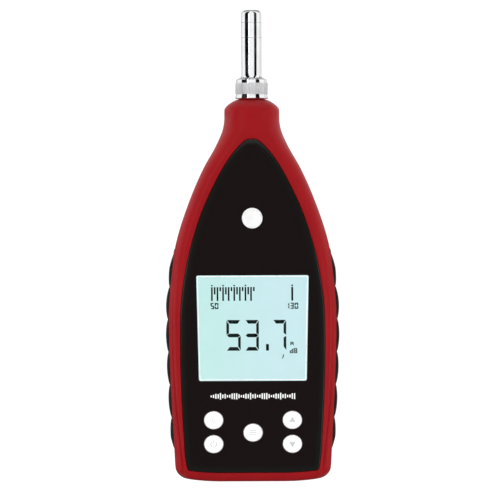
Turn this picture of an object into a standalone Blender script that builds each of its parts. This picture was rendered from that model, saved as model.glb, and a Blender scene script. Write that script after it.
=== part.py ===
"""A hand-held sound level meter, standing upright on the flat under its case.

+Z runs along the meter's length, and the display faces -Y. The origin is the middle of the
flat under the case. Lengths are in millimetres here and become metres as meshes are made.
"""

import math

import bmesh
import bpy
from mathutils import Vector

MM = 0.001
GAP = 0.3

# Case: two halves that meet at PARTING. Stations: height, half width, front depth,
# back depth, corner width, corner depth.
CASE_STATIONS = (
    (6.0, 40.4, 17.0, 18.0, 7.0, 9.0),
    (24.0, 41.3, 17.0, 18.0, 7.0, 9.0),
    (49.0, 42.6, 17.0, 18.0, 7.0, 9.0),
    (72.0, 43.4, 17.0, 18.0, 7.0, 9.0),
    (91.0, 43.4, 17.0, 18.0, 7.0, 9.0),
    (106.0, 42.1, 17.0, 18.0, 7.0, 9.0),
    (122.0, 40.0, 17.0, 18.0, 7.5, 9.0),
    (141.0, 34.3, 17.0, 18.0, 8.0, 9.0),
    (162.0, 25.5, 17.0, 17.6, 9.0, 10.0),
    (174.0, 18.8, 16.9, 16.4, 10.0, 12.0),
    (182.4, 15.2, 15.7, 15.0, 12.0, 14.0),
    (188.0, 14.3, 14.5, 14.3, 12.2, 13.6),
    (192.8, 14.3, 14.3, 14.3, 12.2, 13.6),
)
NECK_TOP = 199.0
NECK_FLAT = 3.0
NECK_DOME_POWER = 0.75
FOOT_ROUND = 6.0
FOOT_DEPTH_ROUND = 3.0
FOOT_FLAT = 16.0
FOOT_RISE = 1.6
FOOT_RISE_REACH = 20.0
WALL = 2.4
FRONT_WALL = 4.0
CAVITY_TOP = 194.0
PARTING = 2.0
TONGUE_INSET = 0.9
TONGUE_REACH = 0.9

# Face panel: height and half width, from the lower corners to the pointed top.
PANEL_STATIONS = (
    (5.0, 33.8),
    (14.0, 35.1),
    (24.0, 35.7),
    (49.0, 36.9),
    (74.0, 37.3),
    (91.0, 36.9),
    (107.0, 34.9),
    (120.0, 32.2),
    (141.0, 25.4),
    (157.0, 17.9),
    (166.0, 12.7),
    (171.0, 9.0),
    (174.0, 6.4),
    (175.8, 4.4),
)
PANEL_TIP = 177.5
PANEL_FOOT = 4.7
PANEL_CORNER = 0.9
PANEL_FRONT = -17.0
PANEL_BACK = -15.4
SHELL_FACE = PANEL_BACK + GAP
CAVITY_FRONT = -13.0

# Display: a clear window in the panel, with the cell, its light and its frame behind.
DISPLAY_Z = 79.5
WINDOW_HALF = (28.4, 27.2)
WINDOW_LEAN = 0.6
WINDOW_FLANGE = 1.0
CELL_HALF = (29.7, 28.8)
FRAME_HALF = (31.4, 30.9)
BOARD_FRONT = -7.0
BOARD_BACK = -5.4
BOARD_HALF = 31.8
BOARD_FOOT = 11.5
BOARD_TOP = 128.0
BOARD_SCREWS = ((-28.6, 42.0), (28.6, 42.0), (-28.6, 120.0), (28.6, 120.0))

# Keys: places in the face, and the parts that they push.
KEYS = {
    "key_power": (-20.4, 19.4),
    "key_light": (-20.4, 31.8),
    "key_menu": (0.0, 25.3),
    "key_up": (20.4, 31.8),
    "key_down": (20.4, 19.4),
}
KEY_RADIUS = 4.85
KEY_FLATTENING = 0.93
KEY_FLANGE_RADIUS = 5.9
KEY_PROUD = 0.9
KEY_DOME = 0.4
SWITCH_HALF = 3.0
SWITCH_BUTTON_FRONT = -10.4
KEY_BACK = -11.5
BADGE_Z = 136.5
BADGE_RADIUS = 5.35

# Grips: rubber strips let into both sides, with five notches between their lobes.
GRIP_FOOT = 17.0
GRIP_TOP = 121.0
GRIP_SIDES = (-7.0, 8.0)
GRIP_NOTCH = 33.1
GRIP_PITCH = 17.0
GRIP_SUNK = 1.0
GRIP_BASE = 0.4
GRIP_LOBE = 1.2

# Microphone on the neck's axis.
COLLAR_FOOT = 198.6
COLLAR_TOP = 209.3
COLLAR_RADIUS = 8.45
TUBE_RADIUS = 5.25
STEM_TOP = 230.3
CAPSULE_TOP = 238.2
MIC_TOP = 244.8

# Battery well in the rear half: four AA cells side by side.
CELL_RADIUS = 7.1
CELL_PITCH = 15.0
CELL_LENGTH = 49.2
CELL_NUB = 1.2
CELL_Y = 8.2
PLATE_THICK = 0.5
SPRING_WIRE = 0.4
WELL_X = 30.4
WELL_FOOT = 14.0
WELL_TOP = 73.5
WELL_WALL = 1.6
WELL_FLOOR = 0.8
DOOR_LEDGE = 2.0
DOOR_THICK = 2.0
DOOR_SCREW_Z = 79.0
DOOR_TAB = 7.0

# Rear fittings and screws.
BACK = 18.0
CASE_SCREWS = ((-29.0, 7.6), (29.0, 7.6), (-26.0, 136.0), (26.0, 136.0))
SCREW_SEAT = 6.0
TRIPOD_Z = 96.0
TRIPOD_HOLE = 3.175
TRIPOD_FLANGE = 7.0
LABEL_Z = 120.0
LABEL_HALF = (18.0, 10.0)
LABEL_THICK = 0.6
JACK_X = 18.0
FOOT_FITTINGS_Y = -6.0

# Finishes: colour, roughness, metallic.
RED_PLASTIC = ((0.33, 0.012, 0.016), 0.42, 0.0)
BLACK_GLOSS = ((0.011, 0.009, 0.009), 0.22, 0.0)
BLACK_RUBBER = ((0.010, 0.010, 0.010), 0.75, 0.0)
BLACK_PLASTIC = ((0.015, 0.015, 0.016), 0.5, 0.0)
CLEAR = ((0.85, 0.90, 0.92), 0.05, 0.0)
DISPLAY = ((0.58, 0.83, 0.83), 0.3, 0.0)
WHITE_PLASTIC = ((0.80, 0.80, 0.80), 0.5, 0.0)
SILVER_KEY = ((0.80, 0.81, 0.82), 0.3, 0.2)
CHROME = ((0.78, 0.79, 0.81), 0.1, 1.0)
STEEL = ((0.55, 0.56, 0.58), 0.3, 1.0)
NICKEL = ((0.62, 0.60, 0.55), 0.25, 1.0)
BRASS = ((0.70, 0.50, 0.20), 0.3, 1.0)
CIRCUIT_GREEN = ((0.010, 0.110, 0.045), 0.4, 0.0)
CHIP_BLACK = ((0.012, 0.012, 0.013), 0.45, 0.0)
CELL_JACKET = ((0.030, 0.050, 0.090), 0.35, 0.3)
LABEL_SILVER = ((0.60, 0.61, 0.62), 0.35, 0.6)


def clear_scene():
    for obj in list(bpy.data.objects):
        bpy.data.objects.remove(obj)


def curve_through(points):
    """A smooth function through (place, value) points: cubic pieces with averaged slopes."""
    steps = [(b[1] - a[1]) / (b[0] - a[0]) for a, b in zip(points, points[1:])]
    slopes = [steps[0]]
    for before, after in zip(steps, steps[1:]):
        slopes.append((before + after) / 2)
    slopes.append(steps[-1])

    def value(place):
        place = min(max(place, points[0][0]), points[-1][0])
        i = max(k for k in range(len(points) - 1) if points[k][0] <= place)
        (start, low), (end, high) = points[i], points[i + 1]
        width = end - start
        t = (place - start) / width
        return (
            low * (1 + 2 * t) * (1 - t) ** 2
            + slopes[i] * width * t * (1 - t) ** 2
            + high * t * t * (3 - 2 * t)
            - slopes[i + 1] * width * t * t * (1 - t)
        )

    return value


def case_curve(column):
    return curve_through([(row[0], row[column]) for row in CASE_STATIONS])


case_half, case_front, case_back, corner_width, corner_depth = map(case_curve, range(1, 6))
panel_half = curve_through(PANEL_STATIONS)


def foot_rise(x):
    """How far the case's lower edge curves up, away from the flat that it stands on."""
    past = max(abs(x) - FOOT_FLAT, 0.0)
    return FOOT_RISE * (past / (36.0 - FOOT_FLAT)) ** 2


def finish(obj, look):
    colour, roughness, metallic = look
    material = bpy.data.materials.new(obj.name)
    material.use_nodes = True
    shader = material.node_tree.nodes["Principled BSDF"]
    shader.inputs["Base Color"].default_value = (*colour, 1.0)
    shader.inputs["Roughness"].default_value = roughness
    shader.inputs["Metallic"].default_value = metallic
    obj.data.materials.append(material)


def object_from(name, mesh_maker, look, at=(0, 0, 0)):
    """An object from a bmesh in millimetres about the point at; look None makes a hidden helper."""
    bmesh.ops.remove_doubles(mesh_maker, verts=mesh_maker.verts, dist=1e-4)
    bmesh.ops.recalc_face_normals(mesh_maker, faces=mesh_maker.faces)
    bmesh.ops.scale(mesh_maker, vec=(MM, MM, MM), verts=mesh_maker.verts)
    mesh = bpy.data.meshes.new(name)
    mesh_maker.to_mesh(mesh)
    mesh_maker.free()
    mesh.shade_smooth()
    mesh.set_sharp_from_angle(angle=math.radians(35))
    obj = bpy.data.objects.new(name, mesh)
    obj.location = Vector(at) * MM
    bpy.context.scene.collection.objects.link(obj)
    if look is None:
        obj.hide_render = True
        obj.display_type = "WIRE"
    else:
        finish(obj, look)
    return obj


def loft(name, rings, look, strip_ends=False):
    """A closed skin over rings of equally many points.

    With strip_ends each ring is a front row and a back row from -X to +X and back, and its
    end is closed by strips from row to row, which stay flat where the rows rise together.
    """
    made = bmesh.new()
    loops = [[made.verts.new(point) for point in ring] for ring in rings]
    count = len(loops[0])
    for lower, upper in zip(loops, loops[1:]):
        for i in range(count):
            j = (i + 1) % count
            made.faces.new((lower[i], lower[j], upper[j], upper[i]))
    for loop in (loops[0], loops[-1]):
        if strip_ends:
            for i in range(count // 2 - 1):
                made.faces.new((loop[i], loop[i + 1], loop[-2 - i], loop[-1 - i]))
        else:
            made.faces.new(loop)
    return object_from(name, made, look)


def extruded(name, outline, axis, low, high, look, at=(0, 0, 0)):
    """A flat outline extruded along X, Y or Z. It lists the two other coordinates in order."""
    index = "XYZ".index(axis)

    def point(pair):
        full = list(pair)
        full.insert(index, low)
        return full

    made = bmesh.new()
    face = made.faces.new([made.verts.new(point(pair)) for pair in outline])
    grown = bmesh.ops.extrude_face_region(made, geom=[face])
    verts = [item for item in grown["geom"] if isinstance(item, bmesh.types.BMVert)]
    travel = Vector((0, 0, 0))
    travel[index] = high - low
    bmesh.ops.translate(made, vec=travel, verts=verts)
    return object_from(name, made, look, at)


def block(name, x, y, z, look):
    """A box between two corners, given as its spans along X, Y and Z."""
    outline = [(x[0], z[0]), (x[1], z[0]), (x[1], z[1]), (x[0], z[1])]
    return extruded(name, outline, "Y", y[0], y[1], look)


def turned(name, profile, axis, at, look, segments=20):
    """A profile of (radius, place along the axis) points, spun about that axis through at."""
    made = bmesh.new()
    index = "XYZ".index(axis)
    radial = (index + 1) % 3

    def point(radius, place):
        full = [0.0, 0.0, 0.0]
        full[index] = place
        full[radial] = radius
        return full

    verts = [made.verts.new(point(*pair)) for pair in profile]
    edges = [made.edges.new(pair) for pair in zip(verts, verts[1:])]
    if profile[0][0] > 0:
        edges.append(made.edges.new((verts[-1], verts[0])))
    around = Vector((0, 0, 0))
    around[index] = 1
    bmesh.ops.spin(
        made, geom=verts + edges, cent=(0, 0, 0), axis=around,
        angle=2 * math.pi, steps=segments, use_merge=True,
    )
    return object_from(name, made, look, at)


def rod(name, radius, axis, low, high, at, look=None, segments=20):
    """A plain cylinder, used for bosses and for the holes in them."""
    profile = ((0, low), (radius, low), (radius, high), (0, high))
    return turned(name, profile, axis, at, look, segments)


def stepped_hole(name, small, large, low, step, at, segments=16):
    """A cutter along Y for a hole of one radius that widens to another at a step."""
    profile = ((0, low), (small, low), (small, step), (large, step), (large, 30), (0, 30))
    return turned(name, profile, "Y", at, None, segments)


def tube(name, route, radius, look, sides=1):
    """A round wire along the route, with closed ends."""
    curve = bpy.data.curves.new(name, "CURVE")
    curve.dimensions = "3D"
    curve.bevel_depth = radius * MM
    curve.bevel_resolution = sides
    curve.use_fill_caps = True
    spline = curve.splines.new("POLY")
    spline.points.add(len(route) - 1)
    for point, place in zip(spline.points, route):
        point.co = (*(Vector(place) * MM), 1.0)
    obj = bpy.data.objects.new(name, curve)
    bpy.context.scene.collection.objects.link(obj)
    finish(obj, look)
    return obj


def combine(target, operation, others):
    for other in others:
        modifier = target.modifiers.new(other.name, "BOOLEAN")
        modifier.operation = operation
        modifier.solver = "EXACT"
        modifier.object = other


def cut(target, *others):
    combine(target, "DIFFERENCE", others)


def add(target, *others):
    combine(target, "UNION", others)


def case_ring(z, side_in=0.0, front_in=0.0, back_in=0.0):
    """The case's section at a height, drawn in from its sides, front and back."""
    half = case_half(z) - side_in
    corner = corner_width(z) - side_in * 0.4
    front = case_front(z) - front_in
    back = case_back(z) - back_in
    flat = half - corner
    arc = [math.radians(a) for a in (0, 22.5, 45, 67.5, 90)]
    right = [(flat * share, 0.0) for share in (0.0, 1 / 3, 2 / 3)]
    right += [(flat + corner * math.sin(a), 1 - math.cos(a)) for a in arc]
    row = [(-x, drop) for x, drop in reversed(right[1:])] + right
    front_drop = min(corner_depth(z), front * 0.95)
    back_drop = min(corner_depth(z), back * 0.95)
    reach = max(1 - z / FOOT_RISE_REACH, 0.0)
    ring = [(x, front_drop * drop - front, z + foot_rise(x) * reach) for x, drop in row]
    ring += [(x, back - back_drop * drop, z + foot_rise(x) * reach) for x, drop in reversed(row)]
    return ring


def case_body(name):
    """The whole outside of the case as one solid, with its rounded foot and domed neck."""
    rings = []
    for degrees in (0, 22.5, 45, 67.5):
        a = math.radians(degrees)
        inset = 1 - math.sin(a)
        z = FOOT_ROUND * (1 - math.cos(a))
        ring = case_ring(z, FOOT_ROUND * inset, FOOT_DEPTH_ROUND * inset, FOOT_DEPTH_ROUND * inset)
        rings.append(ring)
    heights = (6, 16, 30, 45, 60, 75, 91, 103, 114, 125, 136, 147, 158, 167, 175, 181, 186, 192.8)
    rings += [case_ring(z) for z in heights]
    top = CASE_STATIONS[-1]
    for degrees in (15, 32, 50, 70, 90):
        a = math.radians(degrees)
        share = 1 - (1 - NECK_FLAT / top[1]) * (1 - math.cos(a)) ** NECK_DOME_POWER
        z = top[0] + (NECK_TOP - top[0]) * math.sin(a)
        ring = case_ring(top[0])
        rings.append([(x * share, y * share, z) for x, y, _ in ring])
    return loft(name, rings, None, strip_ends=True)


def case_cavity(name):
    heights = (2.6, 12, 30, 60, 91, 110, 125, 140, 155, 167, 176, 184, CAVITY_TOP)
    rings = [case_ring(z, WALL, FRONT_WALL, WALL) for z in heights]
    return loft(name, rings, None, strip_ends=True)


def keep_half(name, front):
    """A cutter over the other half of the case, stepped so that the front half keeps a tongue."""
    edge = PARTING - GAP / 2 if front else PARTING + GAP / 2
    span = (edge, 40.0) if front else (-40.0, edge)
    cutter = block(name, (-60, 60), span, (-20, 260), None)
    inset = TONGUE_INSET if front else TONGUE_INSET - GAP
    heights = (inset, 12, 30, 60, 91, 110, 125, 140, 155, 167, 176, 184, CAVITY_TOP)
    rings = [case_ring(z, inset, inset, inset) for z in heights]
    step = loft(f"{name}_step", rings, None, strip_ends=True)
    cut(step, block(f"{name}_limit", (-60, 60), (edge + TONGUE_REACH, 40), (-20, 260), None))
    if front:
        cut(cutter, step)
    else:
        add(cutter, step)
    return cutter


def panel_outline(growth=0.0):
    """The face panel's outline as (x, z) points, grown outwards all round."""
    corner = [math.radians(a) for a in (0, 45, 90)]
    side = [(x, PANEL_FOOT - growth + foot_rise(x)) for x in (24.0, 29.0)]
    middle = panel_half(PANEL_FOOT + PANEL_CORNER) - PANEL_CORNER
    for a in corner:
        x = middle + (PANEL_CORNER + growth) * math.sin(a)
        z = PANEL_FOOT + PANEL_CORNER - (PANEL_CORNER + growth) * math.cos(a)
        side.append((x, z + foot_rise(x)))
    for z in (14, 24, 40, 57, 74, 91, 102, 112, 122, 132, 142, 152, 160, 167, 172, 175.8):
        lean = panel_half(z + 0.5) - panel_half(z - 0.5)
        length = math.hypot(1, lean)
        side.append((panel_half(z) + growth / length, z - growth * lean / length))
    side += panel_peak(growth)
    peak = [(0.0, PANEL_TIP + growth)]
    return side + peak + [(-x, z) for x, z in reversed(side)]


def panel_peak(growth):
    """Points round the tip, which leaves the sides along their slope and is level at its top."""
    foot, half = PANEL_STATIONS[-1]
    slope = (half - panel_half(foot - 0.5)) / 0.5
    bend = half + slope * (PANEL_TIP - foot)
    arc = []
    for t in (0.35, 0.7):
        x = half * (1 - t) ** 2 + bend * 2 * t * (1 - t)
        z = foot * (1 - t) ** 2 + PANEL_TIP * (2 * t - t * t)
        along = Vector((bend - half + (half - 2 * bend) * t, (PANEL_TIP - foot) * (1 - t)))
        out = Vector((along.y, -along.x)).normalized() * growth
        arc.append((x + out.x, z + out.y))
    return arc


def rounded_box(half, middle, radius):
    """The (x, z) outline of an upright rectangle with round corners."""
    outline = []
    for sx, sz, start in ((1, -1, 270), (1, 1, 0), (-1, 1, 90), (-1, -1, 180)):
        for degrees in (0, 45, 90):
            a = math.radians(start + degrees)
            x = sx * (half[0] - radius) + radius * math.cos(a)
            outline.append((x, middle + sz * (half[1] - radius) + radius * math.sin(a)))
    return outline


def grip_protrusion(z):
    """How far a grip stands out of the case: round lobes that fade at both ends."""
    lobe = abs(math.sin(math.pi * (z - GRIP_NOTCH) / GRIP_PITCH)) ** 0.6
    fade = min((z - GRIP_FOOT) / 6, (GRIP_TOP - z) / 10, 1.0)
    return (GRIP_BASE + GRIP_LOBE * lobe) * max(fade, 0.0) ** 0.5


def grip(name, side):
    rings = []
    steps = 44
    for i in range(steps + 1):
        z = GRIP_FOOT + (GRIP_TOP - GRIP_FOOT) * i / steps
        inner = case_half(z) - GRIP_SUNK
        outer = case_half(z) + grip_protrusion(z)
        low, high = GRIP_SIDES
        section = (
            (inner, low), (outer - 0.6, low), (outer, low + 1.5),
            (outer, high - 1.5), (outer - 0.6, high), (inner, high),
        )
        rings.append([(side * x, y, z) for x, y in section])
    return loft(name, rings, BLACK_RUBBER)


def grip_pocket(name, side):
    low, high = GRIP_SIDES[0] - GAP, GRIP_SIDES[1] + GAP
    heights = [GRIP_FOOT - GAP, 33, 50, 67, 84, 101, 111, GRIP_TOP + GAP]
    rings = []
    for z in heights:
        inner = side * (case_half(z) - GRIP_SUNK - GAP)
        outer = side * (case_half(z) + 8)
        rings.append([(inner, low, z), (outer, low, z), (outer, high, z), (inner, high, z)])
    return loft(name, rings, None)


def flattened(obj):
    """Makes a key, or the hole for one, a little less tall than wide."""
    for vertex in obj.data.vertices:
        vertex.co.z *= KEY_FLATTENING
    return obj


def key_holes(prefix):
    return [
        flattened(rod(f"{prefix}_{name}_hole", KEY_RADIUS + GAP, "Y", -20, -12, (x, 0, z)))
        for name, (x, z) in KEYS.items()
    ]


def front_shell():
    shell = case_body("front_shell")
    shell.hide_render = False
    shell.display_type = "TEXTURED"
    finish(shell, RED_PLASTIC)
    cut(shell, case_cavity("front_cavity"), keep_half("rear_side_cutter", True))
    for i, (x, z) in enumerate(CASE_SCREWS):
        add(shell, rod(f"front_boss_{i}", 3.0, "Y", -14.0, PARTING - GAP / 2, (x, 0, z), None, 16))
        cut(shell, rod(f"front_boss_hole_{i}", 1.6, "Y", -10.0, 5.0, (x, 0, z), None, 12))
    for i, (x, z) in enumerate(BOARD_SCREWS):
        add(shell, rod(f"board_post_{i}", 2.4, "Y", -14.0, BOARD_FRONT - GAP, (x, 0, z), None, 12))
        cut(shell, rod(f"board_post_hole_{i}", 1.3, "Y", -11.5, -5.0, (x, 0, z), None, 8))
    cut(shell, extruded("panel_recess", panel_outline(GAP), "Y", -25, SHELL_FACE, None))
    cell = [size + GAP for size in CELL_HALF]
    span = (DISPLAY_Z - cell[1], DISPLAY_Z + cell[1])
    cut(shell, block("display_opening", (-cell[0], cell[0]), (-20, -12), span, None))
    cut(shell, *key_holes("shell"))
    cut(shell, rod("neck_bore_front", 4.8, "Z", 185, 205, (0, 0, 0)))
    cut(shell, grip_pocket("front_pocket_left", -1), grip_pocket("front_pocket_right", 1))
    cut(shell, rod("jack_hole", 3.1, "Z", -5, 4.5, (JACK_X, FOOT_FITTINGS_Y, 0)))
    cut(shell, rod("trimmer_hole", 1.9, "Z", -5, 4.5, (-JACK_X, FOOT_FITTINGS_Y, 0), None, 12))


def door_outline(growth):
    """The battery door: a square-cornered plate with a rounded tab over its screw."""
    half = WELL_X + DOOR_LEDGE + growth
    foot = WELL_FOOT - DOOR_LEDGE - growth
    top = WELL_TOP + DOOR_LEDGE + growth
    outline = [(-half, foot), (half, foot), (half, top)]
    for degrees in range(0, 181, 30):
        a = math.radians(degrees)
        reach = DOOR_TAB + growth
        outline.append((reach * math.cos(a), max(DOOR_SCREW_Z + reach * math.sin(a) - 1.0, top)))
    outline[3] = (DOOR_TAB + growth, top)
    outline[-1] = (-DOOR_TAB - growth, top)
    outline.append((-half, top))
    return outline


def rear_shell():
    shell = case_body("rear_shell")
    shell.hide_render = False
    shell.display_type = "TEXTURED"
    finish(shell, RED_PLASTIC)
    cut(shell, case_cavity("rear_cavity"), keep_half("front_side_cutter", False))
    wall_x = WELL_X + WELL_WALL
    wall_z = (WELL_FOOT - WELL_WALL, WELL_TOP + WELL_WALL)
    floor = WELL_FLOOR - WELL_WALL
    add(shell, block("well_walls", (-wall_x, wall_x), (floor, BACK - 1.4), wall_z, None))
    for i, (x, z) in enumerate(CASE_SCREWS):
        add(shell, rod(f"rear_boss_{i}", 3.7, "Y", PARTING + GAP, 16.8, (x, 0, z), None, 16))
    add(shell, rod("tripod_boss", 8.0, "Y", 7.0, 16.8, (0, 0, TRIPOD_Z), None, 16))
    add(shell, rod("door_boss", 3.6, "Y", 9.0, 16.9, (0, 0, DOOR_SCREW_Z), None, 16))
    span = (WELL_FOOT, WELL_TOP)
    cut(shell, block("well_space", (-WELL_X, WELL_X), (WELL_FLOOR, 30), span, None))
    cut(shell, extruded("door_seat", door_outline(GAP), "Y", BACK - DOOR_THICK - GAP, 30, None))
    for i, (x, z) in enumerate(CASE_SCREWS):
        cut(shell, stepped_hole(f"rear_boss_hole_{i}", 1.6, 2.9, -5, SCREW_SEAT, (x, 0, z)))
    cut(shell, rod("door_screw_hole", 1.9, "Y", 10.5, 30, (0, 0, DOOR_SCREW_Z), None, 12))
    at = (0, 0, TRIPOD_Z)
    cut(shell, stepped_hole("tripod_seat", 5.3, TRIPOD_FLANGE + GAP, 8.4, BACK - 1.5, at, 20))
    label = [size + GAP for size in LABEL_HALF]
    outline = rounded_box(label, LABEL_Z, 2.0)
    cut(shell, extruded("label_seat", outline, "Y", BACK - LABEL_THICK - GAP, 30, None))
    cut(shell, rod("neck_bore_rear", 4.8, "Z", 185, 205, (0, 0, 0)))
    cut(shell, grip_pocket("rear_pocket_left", -1), grip_pocket("rear_pocket_right", 1))


def face_panel():
    panel = extruded("face_panel", panel_outline(), "Y", PANEL_FRONT, PANEL_BACK, BLACK_GLOSS)
    half = [size + GAP / 2 for size in WINDOW_HALF]
    cut(panel, loft("window_opening", [rectangle(half, y, WINDOW_LEAN) for y in (-20, -12)], None))
    half = [size + WINDOW_FLANGE + GAP / 2 for size in WINDOW_HALF]
    cut(panel, loft("window_rebate", [rectangle(half, y, WINDOW_LEAN) for y in (-16.3, -12)], None))
    cut(panel, *key_holes("panel"))
    badge_seat = rod("badge_seat", BADGE_RADIUS + GAP, "Y", -20, -16.5, (0, 0, BADGE_Z), None, 28)
    cut(panel, badge_seat)


def rectangle(half, y, lean=0.0):
    """The four corners of a display layer at one depth. Lean makes its top the wider end."""
    corners = ((-1, -1), (1, -1), (1, 1), (-1, 1))
    return [(sx * (half[0] + sz * lean), y, DISPLAY_Z + sz * half[1]) for sx, sz in corners]


def display():
    face = [size - GAP / 2 for size in WINDOW_HALF]
    flange = [size + WINDOW_FLANGE - GAP / 2 for size in WINDOW_HALF]
    layers = ((face, PANEL_FRONT), (face, -16.0), (flange, -16.0), (flange, PANEL_BACK))
    loft("display_window", [rectangle(half, y, WINDOW_LEAN) for half, y in layers], CLEAR)
    layers = ((CELL_HALF, -15.0), (CELL_HALF, CAVITY_FRONT))
    loft("lcd_glass", [rectangle(half, y) for half, y in layers], DISPLAY)
    light = (CELL_HALF[0] - 0.3, CELL_HALF[1] - 3.6)
    layers = ((light, CAVITY_FRONT + GAP), (light, BOARD_FRONT - 2.0))
    loft("backlight_panel", [rectangle(half, y) for half, y in layers], WHITE_PLASTIC)
    front, back = CAVITY_FRONT + GAP, BOARD_FRONT - GAP
    layers = ((FRAME_HALF, front), (FRAME_HALF, back))
    frame = loft("lcd_frame", [rectangle(half, y) for half, y in layers], BLACK_PLASTIC)
    inside = (CELL_HALF[0], CELL_HALF[1] + 0.6)
    layers = ((inside, front - 1), (inside, back + 1))
    cut(frame, loft("lcd_frame_inside", [rectangle(half, y) for half, y in layers], None))
    middle = DISPLAY_Z - CELL_HALF[1] + 1.7
    block("connector_strip", (-27, 27), (front, back), (middle - 1.1, middle + 1.1), BLACK_RUBBER)


def keys():
    """Key caps with a low dome, held behind the face by a flange, and their switches."""
    front = PANEL_FRONT - KEY_PROUD
    dome = [(KEY_RADIUS * share, front + KEY_DOME * share**2) for share in (0, 0.5, 0.8, 0.94)]
    profile = dome + [
        (KEY_RADIUS, front + KEY_DOME + 0.3), (KEY_RADIUS, CAVITY_FRONT + GAP),
        (KEY_FLANGE_RADIUS, CAVITY_FRONT + GAP), (KEY_FLANGE_RADIUS, KEY_BACK), (0, KEY_BACK),
    ]
    for name, (x, z) in KEYS.items():
        flattened(turned(name, profile, "Y", (x, 0, z), SILVER_KEY, 20))
        half = SWITCH_HALF
        switch = block(
            name.replace("key", "switch"), (x - half, x + half),
            (SWITCH_BUTTON_FRONT + 0.6, BOARD_FRONT - GAP), (z - half, z + half), BLACK_PLASTIC,
        )
        add(switch, rod(f"{name}_switch_button", 1.7, "Y", SWITCH_BUTTON_FRONT, -9, (x, 0, z), None, 12))


def badge():
    """A plain disc with a raised rim, set in the face panel."""
    rim = BADGE_RADIUS
    front = PANEL_FRONT - 0.3
    profile = (
        (0, front + 0.3), (rim - 1.2, front + 0.3), (rim - 0.9, front),
        (rim - 0.2, front), (rim, front + 0.2), (rim, -16.8), (0, -16.8),
    )
    turned("badge", profile, "Y", (0, 0, BADGE_Z), LABEL_SILVER, 28)


def microphone():
    """Socket in the neck, knurled collar, preamplifier stem, capsule and its grid."""
    profile = (
        (1.8, 187.0), (4.5, 187.0), (4.5, 199.3), (5.8, 199.3), (5.8, 204.4), (1.8, 204.4),
    )
    turned("mic_socket", profile, "Z", (0, 0, 0), CHROME, 20)
    collar = (
        (6.2, 199.8), (7.8, COLLAR_FOOT), (8.6, COLLAR_FOOT), (8.1, 200.9), (COLLAR_RADIUS, 201.1),
        (COLLAR_RADIUS, 206.6), (8.1, 206.9), (7.95, 208.5), (6.2, COLLAR_TOP),
        (TUBE_RADIUS + GAP, COLLAR_TOP), (TUBE_RADIUS + GAP, 204.9), (6.2, 204.9),
    )
    knurled_collar(collar)
    stem = (
        (4.2, 205.2), (TUBE_RADIUS, 205.2), (TUBE_RADIUS, 209.3), (5.9, 209.6), (5.5, 210.2),
        (TUBE_RADIUS, 211.0), (TUBE_RADIUS, STEM_TOP), (4.2, STEM_TOP),
    )
    turned("mic_stem", stem, "Z", (0, 0, 0), CHROME, 24)
    block("preamp_board", (-3.2, 3.2), (-0.6, 0.6), (212, 228.5), CIRCUIT_GREEN)
    rod("mic_contact_pin", 1.3, "Z", 200.0, 211.4, (0, 0, 0), BRASS, 12)
    low, high = STEM_TOP + GAP, CAPSULE_TOP
    capsule = (
        (0, low), (TUBE_RADIUS - 0.3, low), (TUBE_RADIUS, low + 0.3), (TUBE_RADIUS, high),
        (4.3, high), (4.3, low + 2.2), (0, low + 2.2),
    )
    turned("mic_capsule", capsule, "Z", (0, 0, 0), CHROME, 24)
    rod("mic_backplate", 3.8, "Z", low + 2.5, high - 0.9, (0, 0, 0), BRASS, 20)
    rod("mic_diaphragm", 4.0, "Z", high - 0.5, high - 0.2, (0, 0, 0), NICKEL, 20)
    low, high = CAPSULE_TOP + GAP, MIC_TOP
    grid_profile = (
        (0, high - 0.8), (3.1, high - 0.8), (4.3, high - 2.3), (4.3, low), (TUBE_RADIUS, low),
        (TUBE_RADIUS, high - 2.0), (4.6, high - 0.8), (3.3, high), (0, high),
    )
    grid = turned("mic_grid", grid_profile, "Z", (0, 0, 0), CHROME, 24)
    for i in range(6):
        a = math.radians(60 * i)
        place = (1.9 * math.cos(a), 1.9 * math.sin(a), 0)
        cut(grid, rod(f"grid_hole_{i}", 0.65, "Z", high - 2, high + 1, place, None, 6))


def knurled_collar(profile):
    """The collar's profile spun, then its band's every second column of points drawn in."""
    segments = 40
    collar = turned("mic_collar", profile, "Z", (0, 0, 0), CHROME, segments)
    for vertex in collar.data.vertices:
        radius = math.hypot(vertex.co.x, vertex.co.y) / MM
        column = round(math.atan2(vertex.co.y, vertex.co.x) / (2 * math.pi / segments))
        if radius > COLLAR_RADIUS - 0.1 and column % 2:
            shrink = (COLLAR_RADIUS - 0.35) / COLLAR_RADIUS
            vertex.co.x *= shrink
            vertex.co.y *= shrink


def boards():
    span = (BOARD_FRONT, BOARD_BACK)
    board = block("main_board", (-BOARD_HALF, BOARD_HALF), span, (BOARD_FOOT, BOARD_TOP), CIRCUIT_GREEN)
    for i, (x, z) in enumerate(BOARD_SCREWS):
        cut(board, rod(f"board_hole_{i}", 1.3, "Y", -9, -3, (x, 0, z), None, 8))
    back = BOARD_BACK + GAP
    block("processor_chip", (-9, 5), (back, back + 1.6), (84, 98), CHIP_BLACK)
    block("shield_can", (-14, 14), (back, back + 5.0), (103, 123), STEEL)
    block("lead_connector", (17, 23), (back, back + 4.0), (116, 122), WHITE_PLASTIC)
    route = curve_points(((20, -3.0, 122.6), (20, -2.5, 128), (17, 0, 140), (9, 1, 158), (2.6, 0.3, 176), (2.6, 0, 186.4)))
    tube("mic_lead", route, 0.9, BLACK_PLASTIC)


def curve_points(places, per_stretch=4):
    """Points along a smooth curve through the places."""
    stations = list(range(len(places)))
    along = [curve_through(list(zip(stations, axis))) for axis in zip(*places)]
    count = per_stretch * (len(places) - 1)
    return [[axis(i / per_stretch) for axis in along] for i in range(count + 1)]


def cell_places():
    """For each battery: its middle, and whether its positive end is up."""
    return [((i - 1.5) * CELL_PITCH, i % 2 == 0) for i in range(4)]


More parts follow.
